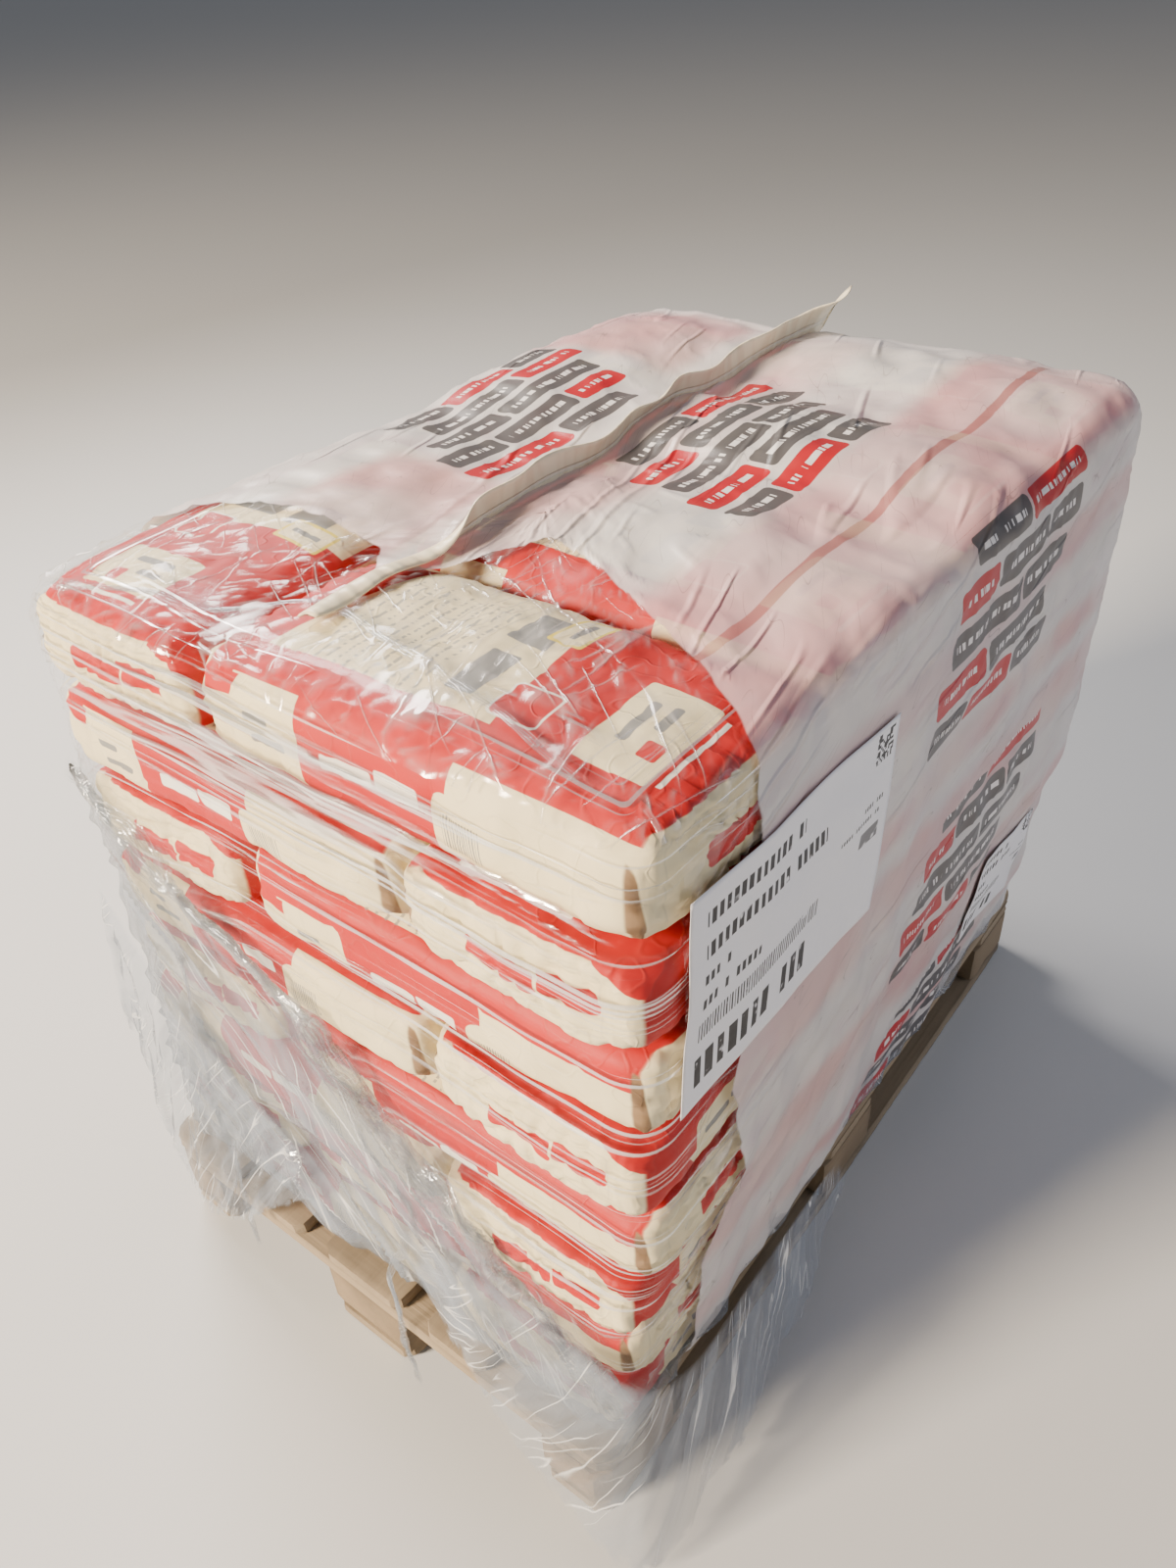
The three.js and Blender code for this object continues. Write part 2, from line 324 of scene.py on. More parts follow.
class Value:
    """A number in a shader, whose operators add Math nodes."""

    def __init__(self, shader: "Shader", socket: Socket) -> None:
        """Wraps a socket of a shader."""
        self.shader = shader
        self.socket = socket

    def maths(self, operation: str, *others: Number) -> "Value":
        """Adds a Math node of an operation on this value and the others."""
        return self.shader.value("ShaderNodeMath", {"operation": operation}, dict(enumerate((self, *others))))

    def __add__(self, other: Number) -> "Value":
        """Adds."""
        return self.maths("ADD", other)

    __radd__ = __add__

    def __mul__(self, other: Number) -> "Value":
        """Multiplies."""
        return self.maths("MULTIPLY", other)

    __rmul__ = __mul__

    def __sub__(self, other: Number) -> "Value":
        """Subtracts."""
        return self.maths("SUBTRACT", other)

    def __rsub__(self, other: Number) -> "Value":
        """Subtracts this from a number."""
        return (self * -1.0) + other

    def high(self, other: Number) -> "Value":
        """The larger of the two."""
        return self.maths("MAXIMUM", other)

    def low(self, other: Number) -> "Value":
        """The smaller of the two."""
        return self.maths("MINIMUM", other)

    def size(self) -> "Value":
        """The value without its sign."""
        return self.maths("ABSOLUTE")

    def step(self, low: float, high: float) -> "Value":
        """A soft step between two values.

        Args:
            low: The value at which it is 0.
            high: The value at which it is 1; it may be the smaller of the two.

        Returns:
            The step.
        """
        inputs = {"Value": self, "From Min": min(low, high), "From Max": max(low, high),
                  "To Min": float(low > high), "To Max": float(low <= high)}
        return self.shader.value("ShaderNodeMapRange", {"interpolation_type": "SMOOTHSTEP"}, inputs, "Result")

    def between(self, low: float, high: float, edge: float) -> "Value":
        """1 between two values and 0 outside them, with an edge of the given width."""
        return self.step(low - edge, low + edge) * self.step(high + edge, high - edge)


class Shader:
    """A material and the nodes that it is made of."""

    def __init__(self, name: str) -> None:
        """Starts a material with an empty node tree.

        Args:
            name: The material's name.
        """
        self.material = bpy.data.materials.new(name)
        self.material.use_nodes = True
        self.tree = self.material.node_tree
        self.tree.nodes.clear()

    def node(self, kind: str, settings: dict[str, object], inputs: Inputs) -> bpy.types.Node:
        """Adds a node, sets it up and then fills or links its sockets.

        Args:
            kind: The node's type.
            settings: Its own settings; "steps" holds the colours of a ramp with that many equal steps.
            inputs: A number, tuple, socket or Value for each socket's name or number.

        Returns:
            The node.
        """
        made = self.tree.nodes.new(kind)
        for name, setting in settings.items():
            if name == "steps":
                made.color_ramp.interpolation = "CONSTANT"
                for _ in setting[2:]:
                    made.color_ramp.elements.new(1.0)
                for number, (element, colour) in enumerate(zip(made.color_ramp.elements, setting)):
                    element.position, element.color = number / len(setting), (*colour, 1.0)
            else:
                setattr(made, name, setting)
        for name, given in inputs.items():
            socket = made.inputs[name]
            if isinstance(given, Value):
                self.tree.links.new(given.socket, socket)
            elif isinstance(given, Socket):
                self.tree.links.new(given, socket)
            elif isinstance(given, tuple) and len(given) == 3 and socket.type == "RGBA":
                socket.default_value = (*given, 1.0)
            else:
                socket.default_value = given
        return made

    def value(self, kind: str, settings: dict[str, object], inputs: Inputs,
              output: Union[str, int] = 0) -> Value:
        """Adds a node and wraps the output that has a name or number."""
        return Value(self, self.node(kind, settings, inputs).outputs[output])

    def carried(self, name: str) -> Socket:
        """The vector that a piece's points carry under a name."""
        return self.node("ShaderNodeAttribute", {"attribute_name": name}, {}).outputs["Vector"]

    def carried_value(self, name: str) -> Value:
        """The number that a piece's points carry under a name."""
        return self.value("ShaderNodeAttribute", {"attribute_name": name}, {}, "Fac")

    def place(self) -> Socket:
        """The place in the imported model's frame, since every piece sits at the origin."""
        return self.node("ShaderNodeTexCoord", {}, {}).outputs["Object"]

    def axes(self, vector: Socket) -> tuple[Value, Value, Value]:
        """The three coordinates of a vector."""
        made = self.node("ShaderNodeSeparateXYZ", {}, {0: vector})
        return tuple(Value(self, made.outputs[i]) for i in range(3))

    def vector(self, x: Number, y: Number, z: Number = 0.0) -> Socket:
        """A vector of three numbers."""
        return self.node("ShaderNodeCombineXYZ", {}, {0: x, 1: y, 2: z}).outputs[0]

    def vector_maths(self, operation: str, *vectors: object) -> Socket:
        """The vector that an operation makes of vectors."""
        made = self.node("ShaderNodeVectorMath", {"operation": operation}, dict(enumerate(vectors)))
        return made.outputs[0]

    def length(self, vector: Socket) -> Value:
        """The length of a vector."""
        return self.value("ShaderNodeVectorMath", {"operation": "LENGTH"}, {0: vector}, "Value")

    def noise(self, at: Socket, stretch: tuple[float, ...], detail: float = 1.0) -> Value:
        """Fractal noise from 0 to 1 on a place.

        Args:
            at: The place.
            stretch: Waves per metre along each coordinate: two of them on a sheet, three in space.
            detail: How many finer waves are added.

        Returns:
            The noise, around one half.
        """
        scaled = self.vector_maths("MULTIPLY", at, (*stretch, 1.0)[:3])
        settings = {"noise_dimensions": f"{len(stretch)}D"}
        inputs = {"Vector": scaled, "Scale": 1.0, "Detail": detail}
        return self.value("ShaderNodeTexNoise", settings, inputs, "Fac")

    def patch(self, at: Socket, centre: Pair, half: Pair,
              corner: float = 0.0, edge: float = 0.0012) -> Value:
        """A filled rectangle with rounded corners on the first two coordinates of a place.

        Formula: 1 where the distance from the rectangle drawn in by its corner is under that corner.

        Args:
            at: The place.
            centre: Its middle.
            half: Half of its width and height.
            corner: Corner radius.
            edge: Width of the soft edge.

        Returns:
            1 inside and 0 outside.
        """
        away = self.vector_maths("ABSOLUTE", self.vector_maths("SUBTRACT", at, (*centre, 0.0)))
        away = self.vector_maths("SUBTRACT", away, (half[0] - corner, half[1] - corner, 1.0))
        distance = self.length(self.vector_maths("MAXIMUM", away, (0.0, 0.0, 0.0)))
        return distance.step(corner + edge, corner)

    def turned(self, at: Socket, turn: float) -> Socket:
        """A place on a sheet in axes that are turned by an angle in radians."""
        x, y, _ = self.axes(at)
        return self.vector(x * math.cos(turn) + y * math.sin(turn), y * math.cos(turn) - x * math.sin(turn))

    def creases(self, at: Socket, turn: float, along: float, across: float, width: float) -> Value:
        """Long thin folds that run mostly one way.

        Formula: 1 where stretched noise is within a width of one half, fading out along the fold.

        Args:
            at: The place on a sheet.
            turn: The way they run, in radians from the first coordinate.
            along: Waves per metre along them.
            across: Waves per metre across them.
            width: How near to one half the noise has to be.

        Returns:
            The folds, from 0 to 1.
        """
        turned = self.turned(at, turn)
        line = (self.noise(turned, (along, across), 0.0) - 0.5).size().step(width, 0.0)
        fade = self.noise(turned, (along * 2.3 + 1.0, across * 0.4 + 2.0), 0.0).step(0.44, 0.62)
        return line * fade

    def line_code(self, at: Socket, half_pitch: float, waves: float, widest: float) -> Value:
        """Fine upright lines of uneven width: where a zigzag along the first coordinate tops a noise.

        Args:
            at: The place.
            half_pitch: Half of the distance between two lines.
            waves: Waves per metre of the noise.
            widest: The noise's greatest height.

        Returns:
            1 on a line and 0 off it.
        """
        along, _, _ = self.axes(at)
        gap = self.noise(at, (waves, 0.0), 0.0) * widest
        return (along.maths("PINGPONG", half_pitch) - gap).step(0.0, 0.0003)

    def blend(self, share: Number, base: object, over: object) -> Socket:
        """Mixes two colours: base where share is 0, over where it is 1."""
        made = self.node("ShaderNodeMix", {"data_type": "RGBA"}, {0: share, 6: base, 7: over})
        return made.outputs[2]

    def bump(self, height: Value, depth: float, strength: float = 1.0) -> Socket:
        """A normal bent by a height, whose full range is depth metres."""
        inputs = {"Height": height, "Distance": depth, "Strength": strength}
        return self.node("ShaderNodeBump", {}, inputs).outputs["Normal"]

    def body(self, **inputs: object) -> Socket:
        """A Principled shader; underscores in a socket's name stand for spaces."""
        sockets = {name.replace("_", " "): given for name, given in inputs.items()}
        return self.node("ShaderNodeBsdfPrincipled", {}, sockets).outputs[0]

    def mix(self, share: Value, base: Socket, over: Socket) -> Socket:
        """Mixes two shaders: base where share is 0, over where it is 1."""
        return self.node("ShaderNodeMixShader", {}, {0: share, 1: base, 2: over}).outputs[0]

    def finish(self, surface: Socket) -> Material:
        """Ends the material with its surface shader."""
        self.node("ShaderNodeOutputMaterial", {}, {"Surface": surface})
        return self.material

    def film(self, surface: Socket, cover: Value) -> Socket:
        """A film's shader: clear where cover is 0, its surface shader where it is 1."""
        return self.mix(cover, self.node("ShaderNodeBsdfTransparent", {}, {}).outputs[0], surface)

    def rim(self, blend: float) -> Value:
        """How edge-on a surface is seen, from 0 to 1."""
        return self.value("ShaderNodeLayerWeight", {}, {"Blend": blend}, "Facing")


# Finishes


class Ink(Enum):
    """The print's inks, and bare paper for the panels that a block leaves open."""

    RED = (0.49, 0.007, 0.007)
    GREY = (0.23, 0.23, 0.225)
    YELLOW = (0.75, 0.60, 0.08)
    WHITE = (0.85, 0.82, 0.74)
    BARE = (0.79, 0.69, 0.44)


@dataclass(frozen=True)
class Block:
    """A rounded rectangle of one ink, whose ends may slant."""

    ink: Ink
    centre: Pair
    half: Pair
    corner: float = 0.003
    slant: float = 0.0


@dataclass(frozen=True)
class PrintedPaper:
    """Cream sack paper with a generic print of coral red blocks, grey panels, bars and fine lines.

    The print lies on the sack's own coordinates: along it, and round it from the middle of its upper face.
    Each face has its own shader, so that a ray works out only the face that it meets.
    """

    paper_worn: Colour = (0.62, 0.53, 0.35)
    shade: Colour = (0.25, 0.20, 0.15)
    kraft: Colour = (0.17, 0.10, 0.05)
    kraft_pale: Colour = (0.27, 0.17, 0.09)
    bar_pitch: float = 0.0034
    row_pitch: float = 0.013
    face_edge: float = 0.1375
    face_blend: float = 0.001
    top: tuple[Block, ...] = (
        Block(Ink.RED, (-0.184, -0.070), (0.116, 0.170), 0.0, 0.12),
        Block(Ink.RED, (0.000, 0.1125), (0.300, 0.0225), 0.0),
        Block(Ink.RED, (0.022, 0.178), (0.093, 0.088), 0.012),
        Block(Ink.RED, (0.260, 0.020), (0.075, 0.140), 0.0, -0.2),
        Block(Ink.BARE, (-0.190, 0.018), (0.036, 0.062), 0.004),
        Block(Ink.WHITE, (-0.088, 0.052), (0.026, 0.026), 0.006),
        Block(Ink.RED, (-0.088, 0.052), (0.0235, 0.0235), 0.005),
        Block(Ink.WHITE, (-0.236, 0.020), (0.0018, 0.055), 0.0),
        Block(Ink.GREY, (-0.176, 0.012), (0.0045, 0.030)),
        Block(Ink.GREY, (-0.196, -0.004), (0.0045, 0.018)),
        Block(Ink.RED, (-0.207, 0.040), (0.009, 0.011)),
        Block(Ink.GREY, (-0.022, -0.060), (0.022, 0.030)),
        Block(Ink.GREY, (-0.022, 0.030), (0.016, 0.036)),
        Block(Ink.YELLOW, (-0.052, -0.082), (0.019, 0.034)),
        Block(Ink.BARE, (-0.052, -0.082), (0.015, 0.030)),
        Block(Ink.GREY, (-0.052, -0.082), (0.003, 0.020), 0.001))
    front: tuple[Block, ...] = (
        Block(Ink.RED, (0.022, 0.178), (0.093, 0.088), 0.012),
        Block(Ink.RED, (0.250, 0.120), (0.075, 0.040), 0.0, -0.2),
        Block(Ink.BARE, (-0.098, 0.203), (0.044, 0.040), 0.016),
        Block(Ink.BARE, (0.165, 0.190), (0.040, 0.034), 0.010),
        Block(Ink.WHITE, (-0.012, 0.182), (0.026, 0.010)),
        Block(Ink.WHITE, (0.050, 0.186), (0.030, 0.008)),
        Block(Ink.GREY, (0.172, 0.176), (0.016, 0.004)),
        Block(Ink.GREY, (0.160, 0.200), (0.022, 0.004)))
    back: tuple[Block, ...] = (
        Block(Ink.RED, (-0.184, -0.170), (0.116, 0.035), 0.0, 0.12),
        Block(Ink.RED, (-0.400, -0.200), (0.098, 0.100), 0.0, 0.5),
        Block(Ink.RED, (0.000, -0.134), (0.300, 0.016), 0.0),
        Block(Ink.BARE, (-0.128, -0.196), (0.058, 0.030), 0.006),
        Block(Ink.RED, (-0.086, -0.202), (0.009, 0.010)),
        Block(Ink.GREY, (-0.150, -0.196), (0.020, 0.0045)),
        Block(Ink.GREY, (-0.112, -0.188), (0.014, 0.0045)))
    end: tuple[Block, ...] = (
        Block(Ink.RED, (-0.062, 0.004), (0.029, 0.0125)),
        Block(Ink.RED, (0.010, -0.003), (0.038, 0.0115)),
        Block(Ink.RED, (0.000, 0.0755), (0.200, 0.0275), 0.0))

    def paint(self, s: Shader, at: Socket, blocks: Sequence[Block]) -> Socket:
        """Paints blocks over worn paper, one after the other.

        Args:
            s: The material's shader.
            at: The place on the face.
            blocks: The face's blocks.

        Returns:
            The colour.
        """
        worn = s.noise(at, (9.0, 9.0), 2.0).step(0.45, 0.8) * 0.5
        colour = s.blend(worn, Ink.BARE.value, self.paper_worn)
        along, across, _ = s.axes(at)
        for block in blocks:
            place = s.vector(along + across * block.slant, across) if block.slant else at
            colour = s.blend(s.patch(place, block.centre, block.half, block.corner), colour, block.ink.value)
        return colour

    def faces(self, s: Shader, around: Socket, end_at: Socket) -> tuple[Socket, Socket, Socket, Socket]:
        """Paints every face: its blocks, and what is finer than a block.

        Args:
            s: The material's shader.
            around: The place on the upper, front and back face.
            end_at: The place on an end.

        Returns:
            The colours of the upper face, the front, the back and an end.
        """
        rows = s.vector_maths("ADD", around, (1.0, 1.0, 0.0))
        row_at, _, _ = s.axes(s.vector_maths("MODULO", rows, (self.row_pitch, 10.0, 1.0)))
        marks = row_at.between(0.003, 0.0068, 0.0005) * s.noise(around, (76.0, 230.0), 0.0).step(0.44, 0.48)
        marks = marks * s.patch(around, (0.085, 0.005), (0.075, 0.085)) * 0.75
        lines = s.line_code(around, self.bar_pitch / 2.0, 420.0, self.bar_pitch / 2.0)
        lines = lines * s.patch(around, (-0.086, 0.203), (0.022, 0.018))
        across, up, _ = s.axes(end_at)
        outer = s.patch(end_at, (0.004, 0.0), (0.098, 0.036), 0.004)
        pressed = outer - s.patch(end_at, (0.004, 0.0), (0.0955, 0.0335), 0.004)
        red = (up - across * 0.55).step(0.0925, 0.0935)
        end = s.blend(red, self.paint(s, end_at, self.end), Ink.RED.value)
        return (s.blend(marks, self.paint(s, around, self.top), Ink.GREY.value),
                s.blend(lines, self.paint(s, around, self.front), Ink.GREY.value),
                self.paint(s, around, self.back), s.blend(pressed.high(0.0) * 0.18, end, Ink.GREY.value))

    def make(self) -> Material:
        """Builds the material.

        Returns:
            The material of every sack.
        """
        s = Shader("sack_paper_print")
        around, end_at = s.carried("around"), s.carried("end_at")
        _, across, _ = s.axes(around)
        end_across, end_up, cap = s.axes(end_at)

        corner = end_across * (cap * 1000.0).high(-1.0).low(1.0)
        tuck = (corner + end_up * 0.10 + s.noise(end_at, (12.0, 30.0), 0.0) * 0.006).step(-0.121, -0.123)
        tuck = tuck * cap.size().step(0.026, 0.038)
        tuck_colour = s.blend(s.noise(end_at, (160.0, 40.0)).step(0.35, 0.7), self.kraft, self.kraft_pale)
        crumple = s.noise(s.place(), (26.0, 26.0, 26.0))
        folded = (crumple - 0.5).size().step(0.035, 0.0)
        pleats = s.noise(end_at, (70.0, 16.0)) * cap.size().step(0.02, 0.10)
        pleats = pleats * end_across.size().step(0.02, 0.13)
        bent = s.bump(folded * 0.10 + crumple + pleats * 0.9, 0.0030)

        def skin(colour: Socket) -> Socket:
            """The paper's shader in a colour."""
            # Painted shade: the paper is darkened a little along the crumple lines.
            inked = s.blend(folded * 0.05, s.blend(tuck, colour, tuck_colour), self.shade)
            return s.body(Base_Color=inked, Roughness=0.62, Normal=bent)

        top, front, back, end = (skin(colour) for colour in self.faces(s, around, end_at))
        edge, far = self.face_edge, self.face_edge + self.face_blend
        surface = s.mix(across.step(-edge, -far), s.mix(across.step(edge, far), top, front), back)
        return s.finish(s.mix(cap.size().step(0.045, 0.065), surface, end))


@dataclass(frozen=True)
class ClearFilm:
    """Clear stretch film: sharp tension streaks, and a haze that thickens where it is crumpled or doubled."""

    tint: Colour = (0.95, 0.96, 0.97)
    # Painted shade: the hazy film's dark blue-grey colour stands in for shade over the lower load.
    haze_shade_tint: Colour = (0.33, 0.38, 0.46)
    streaks_per_metre: float = 190.0
    streak_slant: float = 0.02
    fold_turns: Pair = (-0.75, -1.05)
    pull_turn: float = -0.85
    fold_width: float = 0.026
    most_cover: float = 0.85

    def make(self) -> Material:
        """Builds the material.

        Returns:
            The wrap's material.
        """
        s = Shader("clear_stretch_film")
        at = s.carried("sheet_at")
        ridge, haze, torn = s.carried_value("ridge"), s.carried_value("haze"), s.carried_value("torn")
        rim = s.rim(0.22).step(0.30, 1.0) * 0.22
        around, up, _ = s.axes(at)
        slanted = s.vector(around, up + around * self.streak_slant)
        fine = s.noise(slanted, (1.3, self.streaks_per_metre), 0.0)
        broad = s.noise(slanted, (0.9, 38.0))
        # Partly real tension streaks and partly painted highlight: along the streak lines and ridges the film
        # turns to white gloss.
        line = fine.step(0.59, 0.65) * broad.step(0.46, 0.58)
        cover = ridge.step(0.50, 1.3) * 0.62 + line * 0.62 + broad.step(0.56, 0.78) * 0.07 + rim
        bent = s.bump(broad * 1.4 + ridge * 0.3, 0.003)
        gloss = s.body(Base_Color=self.tint, Metallic=0.75, Roughness=0.15, Normal=bent)
        taut = s.film(gloss, cover.low(self.most_cover) * torn)

        pulled = s.noise(s.turned(at, self.pull_turn), (2.4, 24.0), 2.0)
        folds = s.creases(at, self.fold_turns[0], 2.0, 30.0, self.fold_width)
        folds = folds.high(s.creases(at, self.fold_turns[1], 3.0, 44.0, self.fold_width))
        cover = haze * (0.30 + folds * 0.44 + pulled.step(0.40, 0.68) * 0.28) + ridge * 0.4 + rim
        # Painted highlight: the folds and ridges are lightened from the painted shade tint to the clear film's
        # white.
        pale = s.blend((folds * 0.8).high(ridge), self.haze_shade_tint, self.tint)
        gloss = s.body(Base_Color=pale, Metallic=0.3, Roughness=0.14, Normal=s.bump(pulled, 0.0060))
        slack = s.film(gloss, cover.low(self.most_cover) * torn)
        return s.finish(s.mix(haze.low(1.0), taut, slack))


@dataclass(frozen=True)
class HoodFilm:
    """Clear hood film with a milky print that stops short of one end, and groups of grey and red bars on it.

    The sheet's own coordinates run along the load, and across it from the fin down both long sides.
    """

    milk: Colour = (0.80, 0.77, 0.78)
    blush: Colour = (0.72, 0.27, 0.29)
    shadow: Colour = (0.55, 0.53, 0.55)
    bar_grey: Colour = (0.092, 0.086, 0.090)
    bar_red: Colour = (0.46, 0.010, 0.020)
    stripe_red: Colour = (0.44, 0.14, 0.12)
    scuff: Colour = (0.10, 0.07, 0.08)
    row_pitch: float = 0.048
    group_pitch: float = 0.345
    bar_half: float = 0.0175
    bar_corner: float = 0.006
    row_gap: float = 0.004
    row_shift: float = 0.120
    rows: tuple[tuple[float, float, float, float, float], ...] = (
        (0.095, 0.224, 0.395, 0.395, 0.9), (0.055, 0.149, 0.287, 0.385, 0.1),
        (0.045, 0.224, 0.224, 0.350, 0.9), (0.020, 0.139, 0.310, 0.310, 0.1),
        (0.015, 0.104, 0.224, 0.325, 0.9))

    def bars(self, s: Shader, at: Socket) -> tuple[Value, Value, Value]:
        """Draws the bars: a group on each half of the top, and a column of groups down each side.

        Formula: the row number looks up where the row starts, is cut twice and ends. With q how far a place
        is past the nearest of those and past the row's sides, a bar is where |max(q + corner, 0)| is under
        the corner, and the strip for its dashes where the larger of q is under minus its margin.

        Args:
            s: The material's shader.
            at: The place on the sheet.

        Returns:
            Where the bars are, where they are red, and where the strips for the pale dashes are.
        """
        along, across, _ = s.axes(at)
        far = across.step(0.020, 0.021)
        side = across.step(-0.443, -0.444)
        far_side = across.step(0.330, 0.331)
        group_along = (along + across * 0.03) * (1.0 - far * 2.0) + far * 0.135 - side * 0.015
        on_top = (across + 0.050) * (1.0 - far) * (1.0 - side) + (far - far_side) * (0.078 - across)
        near_down = (across + 0.4700).maths("MODULO", self.group_pitch)
        far_down = (0.345 - across).maths("MODULO", self.group_pitch)
        in_group = s.vector(group_along, on_top + side * near_down + far_side * far_down)
        along, across, _ = s.axes(in_group)
        number = (0.5 - across * (1.0 / self.row_pitch)).maths("FLOOR")
        place = (number + 0.5) * (1.0 / len(self.rows))
        along = along + self.row_shift
        cuts = s.node("ShaderNodeValToRGB", {"steps": [row[:3] for row in self.rows]}, {0: place})
        ends = s.node("ShaderNodeValToRGB", {"steps": [(*row[3:], 0.0) for row in self.rows]}, {0: place})
        start, first, second = s.axes(cuts.outputs[0])
        end, red_at, _ = s.axes(ends.outputs[0])
        past = (start - along).high(along - end)
        past = past.high(self.row_gap - (along - first).size()).high(self.row_gap - (along - second).size())
        beyond = (across + number * self.row_pitch).size() - self.bar_half
        corner = s.vector((past + self.bar_corner).high(0.0), (beyond + self.bar_corner).high(0.0))
        in_rows = number.between(-0.5, len(self.rows) - 0.5, 0.01)
        bars = s.length(corner).step(self.bar_corner + 0.0012, self.bar_corner) * in_rows
        part = (along - first).step(0.0, 0.0001) + (along - second).step(0.0, 0.0001)
        red = (part - red_at).size().step(0.5, 0.4) * bars
        return bars, red, past.high(beyond).step(-0.0132, -0.0138) * bars

    def make(self) -> Material:
        """Builds the material.

        Returns:
            The hood's material.
        """
        s = Shader("milky_hood_film")
        at = s.carried("sheet_at")
        milky = (s.carried_value("print_edge") + s.noise(at, (24.0, 24.0)) * 0.006).step(0.0, 0.004)
        folds = s.creases(at, 0.25, 2.0, 18.0, 0.06)
        return s.finish(s.mix(milky, self.clear(s, at, folds), self.printed(s, at, folds)))

    def printed(self, s: Shader, at: Socket, folds: Value) -> Socket:
        """Makes the milky part's shader: blotched, blushed by the sacks, with its stripe and its bars.

        Args:
            s: The material's shader.
            at: The place on the sheet.
            folds: The film's long folds.

        Returns:
            The shader.
        """
        along, across, _ = s.axes(at)
        bars, red, dashes = self.bars(s, at)
        dashes = dashes * s.noise(at, (230.0, 3.0), 0.0).step(0.48, 0.52)
        stripe = (across + along * -0.026).between(-0.353, -0.341, 0.0008) * along.step(0.50, 0.49)
        blot = s.noise(at, (7.0, 7.0), 2.0)
        scratch = s.creases(at, 0.5, 9.0, 60.0, 0.014) * 0.4
        # Painted shadow: soft grey blotches over the milky print.
        colour = s.blend(blot.step(0.35, 0.75) * 0.32, self.milk, self.shadow)
        colour = s.blend(s.carried_value("blush") * (0.42 + blot * 0.4), colour, self.blush)
        colour = s.blend(stripe * 0.7, s.blend(scratch, colour, self.scuff), self.stripe_red)
        for share, ink in ((bars, self.bar_grey), (red, self.bar_red), (dashes, self.milk)):
            colour = s.blend(share, colour, ink)
        bent = s.bump(folds * 0.6 + s.noise(at, (9.0, 26.0)) * 0.4, 0.0035)
        body = s.body(Base_Color=colour, Roughness=0.33, Normal=bent)
        return s.film(body, 0.70 + blot * 0.10 + bars * 0.20 - stripe * 0.12)

    def clear(self, s: Shader, at: Socket, folds: Value) -> Socket:
        """Makes the unprinted part's shader: clear, with glossy folds.

        Args:
            s: The material's shader.
            at: The place on the sheet.
            folds: The film's long folds.

        Returns:
            The shader.
        """
        ridge = s.carried_value("ridge")
        sharp = s.creases(at, -0.15, 3.0, 34.0, 0.04).high(s.creases(at, 1.0, 3.5, 30.0, 0.035))
        rim = s.rim(0.22).step(0.35, 1.0) * 0.22
        cover = sharp * 0.36 + folds * 0.16 + rim + ridge.step(0.08, 1.0) * 0.36
        bent = s.bump(sharp + folds, 0.0018)
        gloss = s.body(Base_Color=self.milk, Metallic=0.45, Roughness=0.16, Normal=bent)
        return s.film(gloss, cover.low(1.0))


@dataclass(frozen=True)
class LabelPrint:
    """White label paper with rows of upright marks, a code of lines and a square code of random cells.

    The marks are given by their pitch, and each row's middle and half size as shares of half the label.
    """

    paper: Colour = (0.83, 0.83, 0.88)
    ink: Colour = (0.015, 0.015, 0.02)
    cell: float = 0.0030
    marks: tuple[tuple[float, tuple[tuple[Pair, Pair], ...]], ...] = (
        (0.0105, (((-0.42, 0.74), (0.44, 0.062)), ((-0.30, 0.46), (0.56, 0.062)))),
        (0.0085, (((-0.74, 0.21), (0.14, 0.040)), ((-0.62, -0.02), (0.26, 0.044)))),
        (0.0180, (((-0.36, -0.66), (0.54, 0.135)),)),
        (0.0050, (((0.80, 0.30), (0.11, 0.020)), ((0.66, 0.18), (0.22, 0.018)))))

    def make(self, name: str, width: float, height: float) -> Material:
        """Builds the material of one label.

        Args:
            name: The material's name.
            width: The label's width.
            height: The label's height.

        Returns:
            The material.
        """
        s = Shader(name)
        at = s.carried("label_at")
        w, h = width / 2.0, height / 2.0

        def panel(middle: Pair, half: Pair) -> Value:
            """A rectangle given by its shares of the label's half size."""
            return s.patch(at, (middle[0] * w, middle[1] * h), (half[0] * w, half[1] * h), 0.001, 0.0006)

        along, _, _ = s.axes(at)
        white, plain = "ShaderNodeTexWhiteNoise", {"noise_dimensions": "1D"}
        inked = []
        for pitch, rows in self.marks:
            cell = along.maths("SNAP", pitch)
            chance = s.value(white, plain, {"W": cell * 53.0}, "Value")
            beside = (along - cell - pitch / 2.0).size() - pitch * 0.40
            mark = (beside + chance * (pitch * 0.14)).step(0.0, -0.0004) * chance.step(0.12, 0.13)
            inked += [panel(middle, half) * mark for middle, half in rows]
        inked.append(panel((0.80, -0.02), (0.10, 0.075)) * 0.8)
        code = s.patch(at, (-0.30 * w, -0.28 * h), (0.58 * w, 0.080 * h))
        inked.append(s.line_code(at, 0.0021, 330.0, 0.0020) * code)
        cells = s.vector_maths("SNAP", at, (self.cell, self.cell, 1.0))
        inputs = {"Vector": s.vector_maths("MULTIPLY", cells, (977.0, 1361.0, 0.0))}
        random = s.value(white, {"noise_dimensions": "2D"}, inputs, "Value")
        inked.append(random.step(0.52, 0.53) * s.patch(at, (0.86 * w, 0.80 * h), (0.016, 0.016)))
        ink = functools.reduce(Value.high, inked)
        worn = s.noise(at, (55.0, 55.0), 2.0).step(0.22, 0.34)
        wave = s.noise(at, (22.0, 26.0), 2.0)
        colour = s.blend(ink * worn, self.paper, self.ink)
        return s.finish(s.body(Base_Color=colour, Roughness=0.42 + wave * 0.15, Normal=s.bump(wave, 0.0022)))


